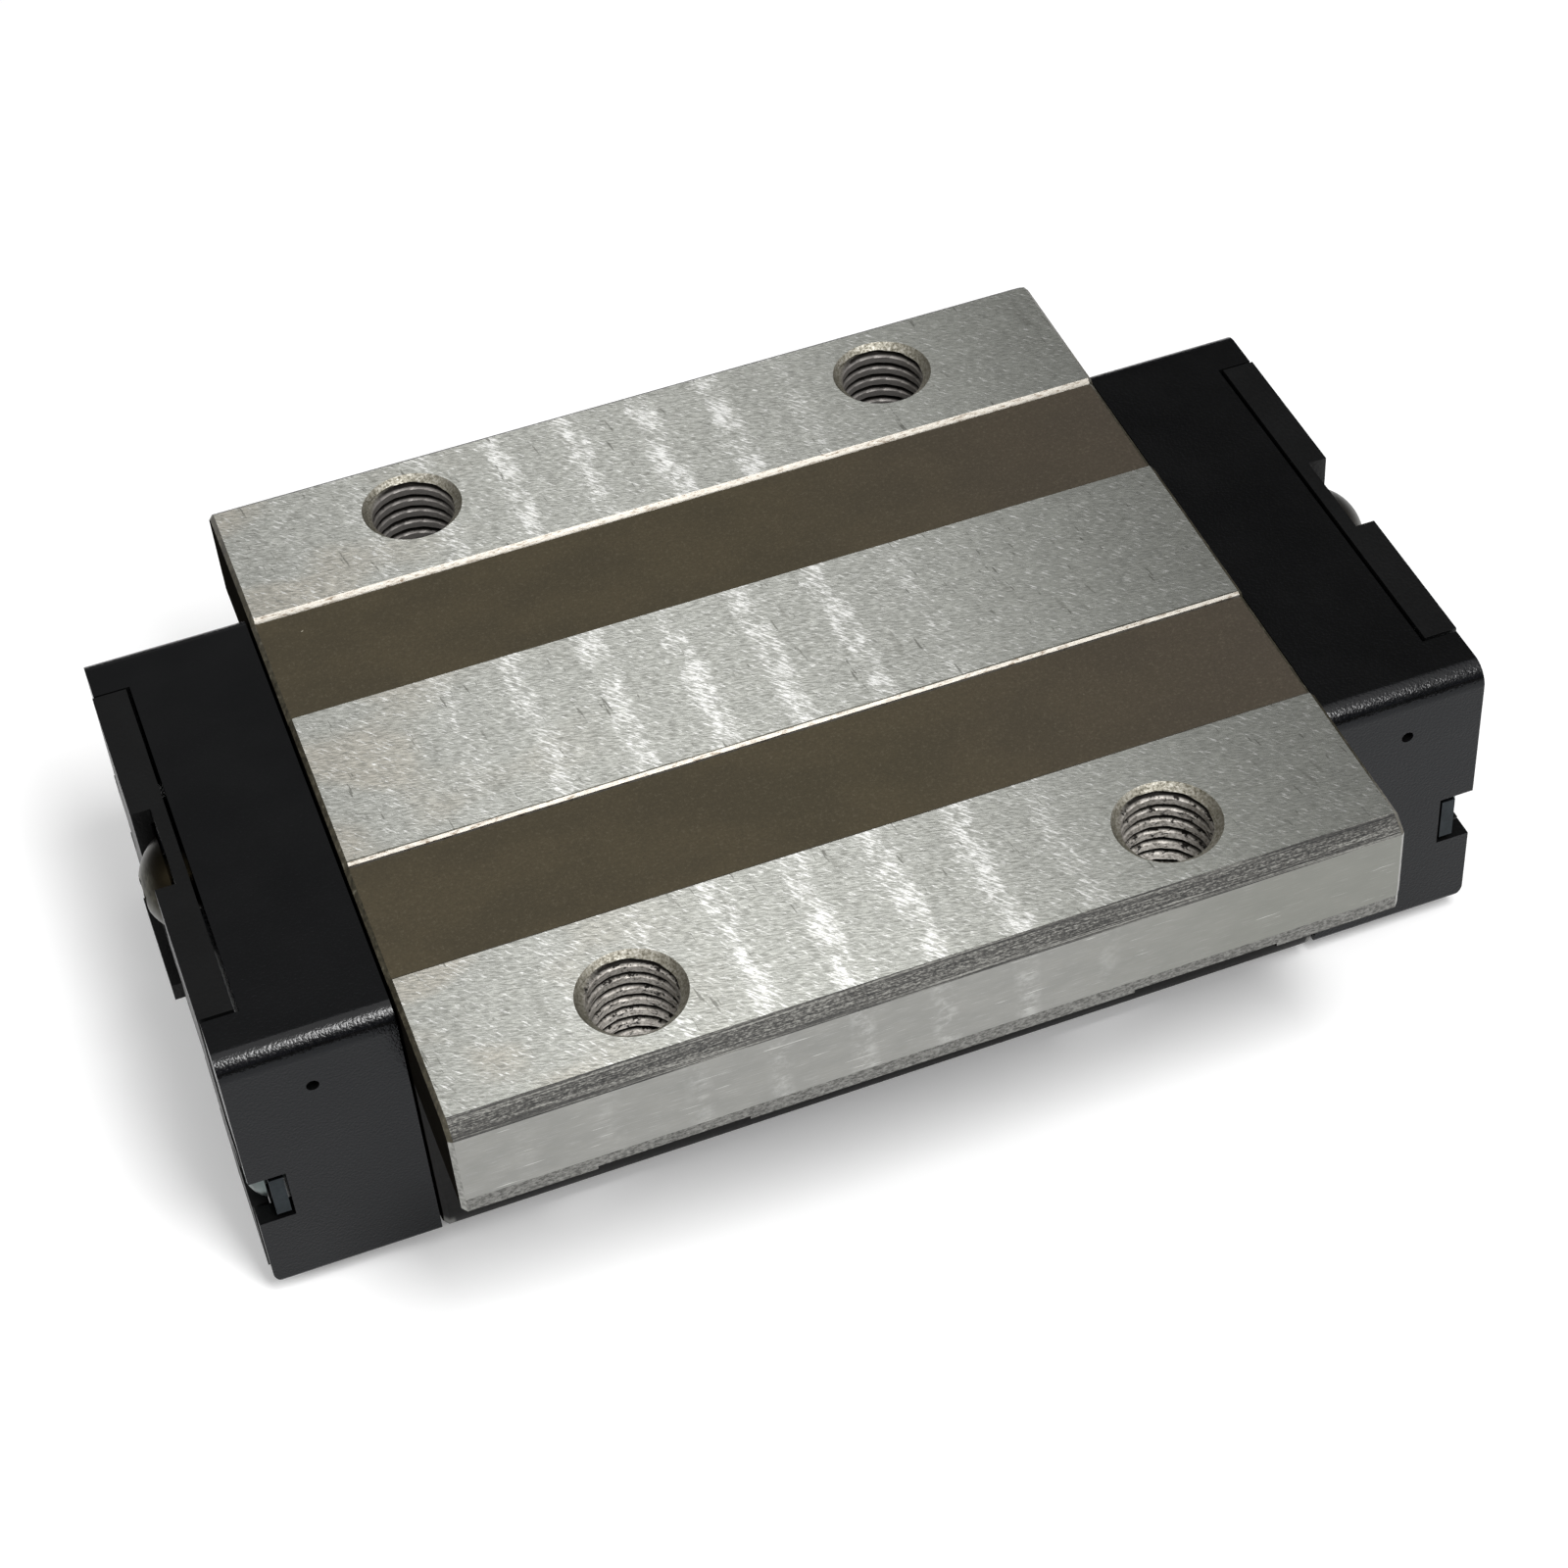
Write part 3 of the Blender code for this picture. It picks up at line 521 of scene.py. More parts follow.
def make_land():
    """Ground steel: fine streaks everywhere, bright clusters of them painted as highlights on the wheel's
    waves, and painted shade towards +X.
    """
    look = Look("ground_land", (0.56, 0.56, 0.52), 0.26, 1.0, Anisotropic=1.0)
    look.grain_tangent()
    streaks = look.noise((1.4 * MM, 0.22 * MM, 1.0 * MM), detail=3.0, rough=0.65, turn=22.0)
    dashes = look.noise((1.3 * MM, 0.24 * MM, 1.0 * MM), detail=3.0, rough=0.65, turn=50.0)
    fine = look.noise((0.9 * MM, 0.16 * MM, 1.0 * MM), detail=2.0, rough=0.6, turn=12.0)
    mottle = look.noise((3.5 * MM, 2.2 * MM, 3.5 * MM), detail=4.0, rough=0.65)
    tint = look.noise((11.0 * MM, 8.0 * MM, 11.0 * MM), detail=1.0)
    along = look.math("MULTIPLY_ADD", look.axis("X"), 1.0 / (100.0 * MM), 0.5)

    warm_zone = look.ramp(along, (0.10, 0.6), (0.34, 0.0))
    warm_patch = look.ramp(tint, (0.46, 0.0), (0.60, 1.0))
    warm = look.math("MULTIPLY", warm_zone, warm_patch)
    base = look.mix(warm, (0.560, 0.567, 0.525), (0.620, 0.575, 0.490))
    # Painted shade: the steel darkens towards +X, where it reflects less light, and its dark streaks fade
    # there.
    base = look.mix(look.ramp(along, (0.64, 0.0), (0.82, 0.25)), base, (0.36, 0.375, 0.33))
    base = look.mix(look.ramp(mottle, (0.36, 0.0), (0.64, 1.0)), look.mix(0.16, base, (0.2, 0.2, 0.19)), base)
    worn = look.ramp(along, (0.62, 1.0), (0.80, 0.35))
    dull = look.math("MULTIPLY", look.ramp(streaks, (0.34, 0.58), (0.53, 0.0)), worn)
    base = look.mix(dull, base, (0.20, 0.20, 0.18))
    dull = look.math("MULTIPLY", look.ramp(fine, (0.34, 0.42), (0.54, 0.0)), worn)
    base = look.mix(dull, base, (0.23, 0.23, 0.20))

    # Painted highlights: on the wave crests in the middle of the land, a pale halo and bright dashes stand in
    # for light caught by the wheel's waves.
    crest = look.ramp(chatter_sheen_bands(look), (0.15, 0.0), (0.95, 1.0))
    glint_zone = look.ramp(along, (0.12, 0.15), (0.38, 1.0), (0.60, 1.0), (0.71, 0.0))
    clump = look.noise((2.0 * MM, 3.4 * MM, 2.0 * MM), detail=3.0, rough=0.65)
    clump = look.ramp(clump, (0.36, 0.1), (0.62, 1.0))
    strength = look.math("MULTIPLY", look.math("MULTIPLY", crest, glint_zone), clump)
    lifted = look.math("MULTIPLY_ADD", strength, 0.18, dashes)
    painted_glint = look.ramp(lifted, (0.57, 0.0), (0.70, 1.0))
    base = look.mix(look.math("MULTIPLY", strength, 0.15), base, (0.92, 0.92, 0.88))
    base = look.mix(painted_glint, base, (0.98, 0.98, 0.95))

    smear = look.noise((1.0 * MM, 4.5 * MM, 2.0 * MM), detail=3.0, turn=-16.0)
    base = look.mix(look.ramp(smear, (0.66, 0.0), (0.72, 0.4)), base, (0.26, 0.26, 0.23))
    crack = look.noise((0.55 * MM, 4.2 * MM, 2.0 * MM), detail=3.0, rough=0.6, turn=-9.0)
    base = look.mix(look.ramp(crack, (0.67, 0.0), (0.71, 0.75)), base, (0.17, 0.17, 0.15))
    from_rim = look.math("ABSOLUTE", look.math("ADD", look.axis("Y"), CENTRE_LAND - 0.08 * MM))
    from_rim = look.math("MULTIPLY_ADD", mottle, 0.25 * MM, from_rim)
    rim = look.ramp(look.math("MULTIPLY", from_rim, 1.0 / MM), (0.18, 0.9), (0.26, 0.0))
    base = look.mix(rim, base, (0.12, 0.115, 0.09))
    scratch = look.noise((5.0 * MM, 0.10 * MM, 2.0 * MM), detail=2.0, turn=62.0)
    base = look.mix(look.ramp(scratch, (0.78, 0.0), (0.82, 0.7)), base, (0.95, 0.94, 0.90))
    look.feed("Base Color", base)
    look.feed("Roughness", look.ramp(fine, (0.35, 0.24), (0.65, 0.29)))
    ridges = look.math("ADD", look.math("MULTIPLY", streaks, 0.7), look.math("MULTIPLY", fine, 0.3))
    look.feed("Normal", look.bump(ridges, 0.010 * MM, 0.6))
    return look.material


def make_relief():
    """Brown oxide on the two relief strips: matte, finely grained, with a few pale nicks."""
    look = Look("oxide_relief", (0.070, 0.060, 0.038), 0.6)
    look.feed("Specular IOR Level", 0.2)
    grain = look.noise((0.28 * MM, 0.28 * MM, 0.28 * MM), detail=3.0, rough=0.7)
    cloud = look.noise((9.0 * MM, 7.0 * MM, 9.0 * MM), detail=3.0)
    along = look.math("MULTIPLY_ADD", look.axis("X"), 1.0 / (92.0 * MM), 0.5)
    purple = look.ramp(along, (0.55, 0.0), (1.0, 1.0))
    base = look.mix(look.ramp(cloud, (0.4, 0.0), (0.6, 1.0)), (0.060, 0.049, 0.029), (0.052, 0.043, 0.026))
    base = look.mix(look.math("MULTIPLY", purple, 0.7), base, (0.051, 0.041, 0.033))
    base = look.mix(look.ramp(grain, (0.36, 0.35), (0.50, 0.0)), base, (0.035, 0.030, 0.020))
    base = look.mix(look.ramp(grain, (0.56, 0.0), (0.70, 0.35)), base, (0.12, 0.105, 0.075))
    speck = look.noise((0.8 * MM, 0.8 * MM, 0.8 * MM), detail=2.0, rough=0.7)
    base = look.mix(look.ramp(speck, (0.79, 0.0), (0.82, 0.8)), base, (0.42, 0.38, 0.30))
    scratch = look.noise((2.2 * MM, 0.12 * MM, 2.0 * MM), detail=2.0, turn=14.0)
    base = look.mix(look.ramp(scratch, (0.80, 0.0), (0.84, 0.5)), base, (0.25, 0.22, 0.17))
    look.feed("Base Color", base)
    look.feed("Normal", look.bump(grain, 0.02 * MM, 0.6))
    return look.material


def make_relief_wall():
    """The short bright walls of the relief, broken by dark flecks."""
    look = Look("bright_wall", (0.6, 0.58, 0.52), 0.4, 0.8)
    fleck = look.noise((0.8 * MM, 0.22 * MM, 0.22 * MM), detail=3.0, rough=0.7)
    look.feed("Base Color", look.ramp(
        fleck, (0.34, (0.09, 0.07, 0.05)), (0.45, (0.21, 0.195, 0.17)), (0.62, (0.250, 0.237, 0.212))))
    look.feed("Normal", look.bump(fleck, 0.03 * MM, 0.6))
    return look.material


def make_milled():
    """The milled chamfer: grey grit with dark tool lines that run lengthwise, most near its foot."""
    look = Look("milled_chamfer", (0.09, 0.088, 0.082), 0.5, 0.5)
    grit = look.noise((0.40 * MM, 0.13 * MM, 0.13 * MM), detail=3.0, rough=0.7)
    lines = look.noise((16.0 * MM, 0.13 * MM, 0.11 * MM), detail=2.0, rough=0.6)
    foot = TOP - TOP_CHAMFER_Z
    low = look.ramp(look.math("MULTIPLY_ADD", look.axis("Z"), 1.0 / (2.0 * MM), -foot / (2.0 * MM)),
                    (0.0, 0.85), (0.25, 0.35), (0.50, 0.35), (0.64, 0.65))
    blend = look.node("Mix", {0: low, 2: grit, 3: lines})
    look.feed("Base Color", look.ramp(
        blend, (0.39, (0.003, 0.003, 0.0025)), (0.50, (0.037, 0.0355, 0.032)), (0.61, (0.162, 0.160, 0.146))))
    look.feed("Normal", look.bump(blend, 0.05 * MM, 0.8))
    return look.material


def make_side():
    """The ground reference edge: fine lengthwise lines, faint highlights painted on its waves, darker towards
    +X.
    """
    look = Look("ground_side", (0.36, 0.36, 0.34), 0.34, 1.0, Anisotropic=0.6)
    look.grain_tangent()
    streaks = look.noise((2.4 * MM, 1.0 * MM, 0.11 * MM), detail=4.0, rough=0.65)
    mottle = look.noise((5.0 * MM, 3.0 * MM, 2.5 * MM), detail=3.0, rough=0.6)
    # Painted highlights: pale bands on the wave crests, strongest in the middle of the length.
    crest = look.ramp(chatter_sheen_bands(look), (0.40, 0.0), (1.0, 1.0))
    patches = look.noise((1.6 * MM, 2.0 * MM, 0.9 * MM), detail=4.0, rough=0.7)
    patches = look.ramp(patches, (0.45, 0.0), (0.65, 1.0))
    base = look.mix(look.ramp(mottle, (0.35, 0.0), (0.65, 1.0)), (0.285, 0.284, 0.268), (0.250, 0.251, 0.238))
    base = look.mix(look.ramp(streaks, (0.34, 0.55), (0.54, 0.0)), base, (0.24, 0.24, 0.22))
    base = look.mix(look.ramp(streaks, (0.58, 0.0), (0.72, 0.5)), base, (0.52, 0.52, 0.50))
    along = look.math("MULTIPLY_ADD", look.axis("X"), 1.0 / (100.0 * MM), 0.5)
    middle = look.ramp(along, (0.15, 0.2), (0.40, 1.0), (0.60, 0.8), (0.75, 0.0))
    wave_sheen = look.math("MULTIPLY", look.math("MULTIPLY", crest, patches), middle)
    base = look.mix(look.math("MULTIPLY", wave_sheen, 0.28), base, (0.75, 0.75, 0.73))
    base = look.mix(look.ramp(along, (0.60, 0.0), (0.82, 0.5)), base, (0.17, 0.175, 0.15))
    scratch = look.noise((5.0 * MM, 2.0 * MM, 0.16 * MM), detail=2.0)
    base = look.mix(look.ramp(scratch, (0.71, 0.0), (0.76, 0.7)), base, (0.72, 0.72, 0.69))
    look.feed("Base Color", base)
    look.feed("Normal", look.bump(streaks, 0.012 * MM, 0.6))
    return look.material


def make_rough_band():
    look = Look("rough_band", (0.19, 0.19, 0.175), 0.5, 0.7)
    grit = look.noise((0.40 * MM, 0.3 * MM, 0.20 * MM), detail=3.0, rough=0.7)
    look.feed("Base Color", look.ramp(
        grit, (0.36, (0.07, 0.069, 0.064)), (0.5, (0.155, 0.153, 0.143)), (0.66, (0.25, 0.25, 0.235))))
    look.feed("Normal", look.bump(grit, 0.03 * MM, 0.8))
    return look.material


def make_oxide():
    """Black oxide on the underside and body, pale grey on the lower corners near the ends."""
    look = Look("black_oxide", (0.02, 0.02, 0.019), 0.6, 0.1)
    look.feed("Specular IOR Level", 0.15)
    grit = look.noise((0.6 * MM, 0.6 * MM, 0.6 * MM), detail=3.0, rough=0.6)
    cloud = look.noise((5.0 * MM, 5.0 * MM, 5.0 * MM), detail=3.0)
    reach = look.math("MULTIPLY_ADD", cloud, 1.2 * MM, look.math("ABSOLUTE", look.axis("X")))
    near_end = look.math("MULTIPLY_ADD", reach, 1.0 / (4.0 * MM), -(HALF_LENGTH - 3.2 * MM) / (4.0 * MM))
    near_end = look.ramp(near_end, (0.70, 0.0), (0.76, 1.0))
    height = look.math("MULTIPLY_ADD", cloud, 2.0 * MM, look.axis("Z"))
    low = look.ramp(look.math("MULTIPLY", height, 1.0 / (20.0 * MM)), (0.22, 1.0), (0.26, 0.0))
    base = look.mix(grit, (0.004, 0.004, 0.004), (0.012, 0.0115, 0.011))
    look.feed("Base Color", look.mix(look.math("MULTIPLY", near_end, low), base, (0.17, 0.17, 0.16)))
    look.feed("Normal", look.bump(grit, 0.03 * MM, 0.7))
    return look.material


def make_edge():
    look = Look("end_edge", (0.05, 0.043, 0.028), 0.4, 0.3)
    grit = look.noise((0.5 * MM, 0.7 * MM, 0.5 * MM), detail=3.0, rough=0.6)
    look.feed("Base Color", look.ramp(
        grit, (0.35, (0.030, 0.026, 0.016)), (0.6, (0.075, 0.066, 0.042)), (0.78, (0.20, 0.19, 0.15))))
    look.feed("Normal", look.bump(grit, 0.03 * MM, 0.6))
    return look.material


def make_bare_edge():
    look = Look("bare_edge", (0.45, 0.45, 0.42), 0.35, 1.0)
    grit = look.noise((0.5 * MM, 0.4 * MM, 0.4 * MM), detail=3.0)
    look.feed("Base Color", look.ramp(grit, (0.3, (0.13, 0.13, 0.12)), (0.7, (0.30, 0.30, 0.28))))
    look.feed("Normal", look.bump(grit, 0.02 * MM, 0.6))
    return look.material


def make_end_face():
    look = Look("end_face", (0.02, 0.017, 0.011), 0.8)
    lines = look.noise((1.0 * MM, 3.0 * MM, 0.14 * MM), detail=3.0, rough=0.6)
    look.feed("Specular IOR Level", 0.0)
    look.feed("Base Color", look.ramp(lines, (0.35, (0.004, 0.0035, 0.003)), (0.65, (0.010, 0.009, 0.007))))
    look.feed("Normal", look.bump(lines, 0.02 * MM, 0.5))
    return look.material


def make_thread():
    """Cut thread: dull crests, roots and torn patches darkened by painted shade below the mouth, painted
    shade on the hole's sides, faint in the back holes.
    """
    look = Look("thread", (0.36, 0.34, 0.31), 0.5, 0.8)
    across = look.math("SUBTRACT", look.math("ABSOLUTE", look.axis("X")), HOLE_X)
    away = look.math("SUBTRACT", look.math("ABSOLUTE", look.axis("Y")), HOLE_Y)
    square = look.math("MULTIPLY", away, away)
    radius = look.math("SQRT", look.math("MULTIPLY_ADD", across, across, square))
    height = THREAD_ROOT - THREAD_CREST
    depth = look.math("MULTIPLY_ADD", radius, 1.0 / height, -THREAD_CREST / height)
    shaded_below_mouth = look.ramp(look.math("MULTIPLY_ADD", look.axis("Z"), -1.0 / (2.0 * MM), TOP / (2.0 * MM)),
                      (0.42, 0.0), (0.52, 1.0))
    tear = look.noise((0.9 * MM, 0.9 * MM, 0.45 * MM), detail=3.0, rough=0.7)
    torn = look.ramp(tear, (0.55, 0.0), (0.63, 0.5))
    back = look.math("MULTIPLY_ADD", look.axis("Y"), 1.0 / (100.0 * MM), 0.5)
    back = look.ramp(back, (0.45, 0.0), (0.55, 0.8))
    torn = look.math("MULTIPLY", torn, look.math("SUBTRACT", 1.0, back))
    # Painted shade: the roots, and the torn patches with them, go dark below the mouth.
    root = look.ramp(look.math("MULTIPLY", look.math("ADD", depth, torn), shaded_below_mouth), (0.14, 0.0), (0.50, 1.0))
    fleck = look.noise((0.30 * MM, 0.30 * MM, 0.20 * MM), detail=3.0, rough=0.7)
    ridge = look.ramp(
        fleck, (0.32, (0.15, 0.135, 0.115)), (0.46, (0.43, 0.405, 0.37)), (0.68, (0.62, 0.59, 0.55)))
    lip = look.ramp(fleck, (0.32, (0.13, 0.12, 0.09)), (0.50, (0.36, 0.34, 0.28)), (0.70, (0.66, 0.64, 0.58)))
    ridge = look.mix(back, ridge, (0.27, 0.255, 0.245))
    # Painted shade on the hole's sides across X.
    shade = look.math("DIVIDE", look.math("ABSOLUTE", across), THREAD_ROOT)
    shade = look.ramp(shade, (0.55, 0.0), (1.0, 0.65))
    ridge = look.mix(shaded_below_mouth, lip, ridge)
    ridge = look.mix(shade, ridge, (0.075, 0.068, 0.045))
    look.feed("Base Color", look.mix(root, ridge, (0.014, 0.012, 0.010)))
    look.feed("Roughness", look.ramp(fleck, (0.35, 0.66), (0.65, 0.52)))
    look.feed("Normal", look.bump(fleck, 0.05 * MM, 0.7))
    return look.material


def make_raceway():
    look = Look("ground_raceway", (0.5, 0.5, 0.48), 0.25, 1.0)
    lines = look.noise((6.0 * MM, 0.15 * MM, 0.15 * MM), detail=2.0)
    look.feed("Base Color", look.ramp(lines, (0.35, (0.36, 0.36, 0.34)), (0.65, (0.55, 0.55, 0.52))))
    look.feed("Normal", look.bump(lines, 0.01 * MM, 0.5))
    return look.material


def make_resin(name, color, roughness, grain, specular, tint=(1.0, 1.0, 1.0)):
    """Moulded resin: a pebbled grain, faint clouding and a few pale specks."""
    look = Look(name, color, roughness)
    look.feed("Specular IOR Level", specular)
    look.feed("Specular Tint", (*tint, 1.0))
    fine = look.noise((grain, grain, grain), detail=1.0, rough=0.5)
    cloud = look.noise((7.0 * MM, 7.0 * MM, 7.0 * MM), detail=3.0)
    speck = look.noise((0.9 * MM, 0.9 * MM, 0.9 * MM), detail=3.0, rough=0.7)
    dark = tuple(c * 0.8 for c in color)
    pale = tuple(c * 1.25 for c in color)
    base = look.mix(look.ramp(cloud, (0.35, 0.0), (0.65, 1.0)), dark, pale)
    look.feed("Base Color", look.mix(look.ramp(speck, (0.77, 0.0), (0.81, 0.35)), base, (0.10, 0.10, 0.10)))
    look.feed("Roughness", look.ramp(fine, (0.3, roughness - 0.04), (0.7, roughness + 0.06)))
    look.feed("Normal", look.bump(fine, 0.045 * MM, 0.7))
    return look.material


def make_metal(name, color, roughness, streak, depth=0.01):
    """Plated or polished steel with fine lines and faint clouding."""
    look = Look(name, color, roughness, 1.0)
    lines = look.noise(streak, detail=3.0, rough=0.6)
    cloud = look.noise((1.5 * MM, 1.5 * MM, 1.5 * MM), detail=3.0)
    dark = tuple(c * 0.72 for c in color)
    look.feed("Base Color", look.mix(look.ramp(cloud, (0.35, 0.0), (0.65, 1.0)), dark, color))
    look.feed("Roughness", look.ramp(lines, (0.3, roughness * 0.8), (0.7, roughness * 1.3)))
    look.feed("Normal", look.bump(lines, depth * MM, 0.5))
    return look.material


def make_plug():
    """A plated plug: dark and brown by the seal with painted shade from the seal's notch, paler on the crown
    of its head.
    """
    look = Look("plated_plug", (0.4, 0.39, 0.34), 0.36, 1.0)
    lines = look.noise((0.25 * MM, 0.8 * MM, 0.8 * MM), detail=3.0, rough=0.6)
    reach = look.math("ABSOLUTE", look.axis("X"))
    reach = look.math("MULTIPLY_ADD", lines, 0.4 * MM, reach)
    crown = look.ramp(look.math("MULTIPLY_ADD", reach, 1.0 / (3.0 * MM), -PLATE_OUTER / (3.0 * MM)),
                      (0.60, 0.0), (0.90, 1.0))
    steel = look.ramp(lines, (0.35, (0.022, 0.021, 0.015)), (0.65, (0.062, 0.060, 0.046)))
    # Painted shade: near the seal the head goes dark brown; the crown keeps the plated steel colour.
    look.feed("Base Color", look.mix(crown, (0.015, 0.012, 0.007), steel))
    look.feed("Normal", look.bump(lines, 0.02 * MM, 0.5))
    return look.material


LOOKS = {
    # The cap resin's bluish specular tint stands in for the bluish cast of what its sides reflect: a painted
    # reflection tint.
    "cap_resin": make_resin(
        "black_resin", (0.0029, 0.0029, 0.0029), 0.21, 0.26 * MM, 0.215, (0.88, 0.92, 1.0)),
    "seal_rubber": make_resin("black_rubber", (0.0032, 0.0033, 0.0034), 0.40, 0.30 * MM, 0.22),
    "guide_resin": make_resin("green_resin", (0.022, 0.085, 0.048), 0.42, 0.30 * MM, 0.5),
    "tube_resin": make_resin("natural_resin", (0.68, 0.65, 0.56), 0.45, 0.30 * MM, 0.5),
    "plate_steel": make_metal("coated_plate", (0.028, 0.034, 0.038), 0.42, (0.3 * MM, 0.3 * MM, 0.3 * MM)),
    "plug_steel": make_plug(),
    "screw_steel": make_metal("plated_screw", (0.13, 0.155, 0.15), 0.38, (0.2 * MM, 0.8 * MM, 0.2 * MM)),
    "black_screw_steel": make_metal(
        "black_screw", (0.05, 0.05, 0.055), 0.4, (0.2 * MM, 0.2 * MM, 0.2 * MM)),
    "ball_steel": make_metal(
        "polished_ball", (0.72, 0.72, 0.73), 0.09, (0.6 * MM, 0.6 * MM, 0.6 * MM), 0.001),
}


# ---------------------------------------------------------------- pieces

def finish_piece(piece, node, slot, body="carriage"):
    """Name a piece for the CAD node it stands for, and give it its body and finish."""
    piece.name = node + "_fine"
    piece.data.name = piece.name
    if not piece.data.materials:
        piece.data.materials.append(LOOKS[slot])
    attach(piece, body)
    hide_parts(node)


def thread_wall(x, y):
    """The tapped wall of one hole: countersunk mouth, right-hand thread, and its foot."""
    sides = 96
    rows = 110
    work = bmesh.new()
    rings = []
    for row in range(rows + 1):
        z = TOP - (TOP - SEAT) * row / rows
        ring = []
        for i in range(sides):
            turn = i / sides
            phase = (z / THREAD_PITCH - turn) % 1.0
            # Over one pitch: a flat root, two sloping flanks and a broad flat crest.
            depth = min(max((0.52 - abs(phase - 0.5) * 2.0) / 0.36, 0.0), 1.0)
            radius = THREAD_CREST + depth * (THREAD_ROOT - THREAD_CREST)
            radius = max(radius, MOUTH - (TOP - z))
            if row == rows:
                radius = MOUTH
            angle = math.tau * turn
            ring.append(work.verts.new((x + radius * math.cos(angle), y + radius * math.sin(angle), z)))
        rings.append(ring)
    for ring, following in zip(rings, rings[1:]):
        for i in range(sides):
            j = (i + 1) % sides
            work.faces.new((ring[i], following[i], following[j], ring[j]))
    return work


# Handling has rubbed the caps' long rounded edges, so they shine more than the rest.
RUBBED_RESIN = make_resin("rubbed_resin", (0.0027, 0.0029, 0.0038), 0.21, 0.26 * MM, 0.43)

BLOCK_LOOKS = {
    "land": make_land(),
    "relief": make_relief(),
    "wall": make_relief_wall(),
    "milled": make_milled(),
    "side": make_side(),
    "band": make_rough_band(),
    "oxide": make_oxide(),
    "edge": make_edge(),
    "bare": make_bare_edge(),
    "end": make_end_face(),
    "race": make_raceway(),
    "thread": make_thread(),
}


def block_look(centre, normal):
    """Which of the block's finishes a face has."""
    high = centre.z > UNDER + 1.0 * MM
    wide = abs(centre.y)
    if abs(normal.x) > 0.9:
        return "end"
    if abs(normal.x) > 0.2 and high and wide > HALF_WIDTH - 0.6 * MM and abs(normal.y) > 0.5:
        return "bare" if centre.z < TOP - TOP_CHAMFER_Z else "edge"
    if abs(normal.x) > 0.2 and centre.z > UNDER:
        return "edge"
    if normal.z > 0.95 and centre.z > TOP - 0.1 * MM:
        return "land"
    if normal.z > 0.95 and high:
        return "relief"
    if normal.z > 0.3 and high and wide < OUTER_LAND + 0.1 * MM:
        return "wall"
    if normal.z > 0.3 and high:
        return "milled"
    if wide > HALF_WIDTH - 0.01 * MM:
        return "side"
    if wide > HALF_WIDTH - 0.6 * MM and abs(normal.y) > 0.5:
        return "band"
    if wide < CHANNEL_HALF + BALL_RADIUS and centre.z < CHANNEL_TOP + 0.1 * MM and abs(normal.z) < 0.99:
        return "race"
    return "oxide"


def make_block():
    """The steel block: its section along X, the passages, the holes with their seats, the threads."""
    outline = block_outline()
    count = len(outline)
    depths = []
    for i in range(count):
        middle = (Vector(outline[i]) + Vector(outline[(i + 1) % count])) / 2
        inside = in_channel(middle) and middle.y > 0.01 * MM
        depths.append(0.0 if inside else END_CHAMFER)
    small = inset(outline, depths)
    straight = HALF_LENGTH - END_CHAMFER
    block = solid("block", [
        (-HALF_LENGTH, small), (-straight, outline), (straight, outline), (HALF_LENGTH, small)])
    tools = []
    for side in SIDES.values():
        for level in LEVELS:
            y, z = side * RETURN_Y, RETURN_Z[level]
            tools.append(rod(RETURN_BORE, (-HALF_LENGTH - PAST, y, z), (HALF_LENGTH + PAST, y, z)))
        for end in ENDS.values():
            x, y = end * HOLE_X, side * HOLE_Y
            tools.append(rod(MOUTH, (x, y, UNDER - PAST), (x, y, TOP + PAST), 96))
            tools.append(rod(SEAT_RADIUS, (x, y, UNDER - PAST), (x, y, SEAT), 64))
            slot_y = (y, side * (HALF_WIDTH + PAST))
            tools.append(box((x - SEAT_RADIUS, x + SEAT_RADIUS), slot_y, (UNDER - PAST, SEAT)))
    combine(block, tools)
    names = list(BLOCK_LOOKS)
    for name in names:
        block.data.materials.append(BLOCK_LOOKS[name])
    work = bmesh.new()
    work.from_mesh(block.data)
    for face in work.faces:
        face.material_index = names.index(block_look(face.calc_center_median(), face.normal))
    for side in SIDES.values():
        for end in ENDS.values():
            wall = thread_wall(end * HOLE_X, side * HOLE_Y)
            for face in wall.faces:
                face.material_index = names.index("thread")
            extra = bpy.data.meshes.new("thread")
            wall.to_mesh(extra)
            wall.free()
            work.from_mesh(extra)
            bpy.data.meshes.remove(extra)
    # The boolean's plain hole walls lie behind the threads, so they go.
    plain = []
    for face in work.faces:
        centre = face.calc_center_median()
        from_axis = Vector((abs(centre.x) - HOLE_X, abs(centre.y) - HOLE_Y)).length
        is_thread = face.material_index == names.index("thread")
        upright = abs(face.normal.z) < 0.1 and centre.z > SEAT
        if upright and not is_thread and abs(from_axis - MOUTH) < 0.05 * MM:
            plain.append(face)
    bmesh.ops.delete(work, geom=plain, context="FACES")
    bmesh.ops.remove_doubles(work, verts=work.verts, dist=RIM_TWIN)
    close_slits(work)
    bmesh.ops.recalc_face_normals(work, faces=work.faces)
    grain = work.loops.layers.uv.new("grain")
    for face in work.faces:
        upright = abs(face.normal.y) > 0.7
        for loop in face.loops:
            co = loop.vert.co
            loop[grain].uv = (co.z if upright else co.y, co.x)
    work.to_mesh(block.data)
    work.free()
    smooth(block, 28.0)
    finish_piece(block, "carriage_block", "block_steel")


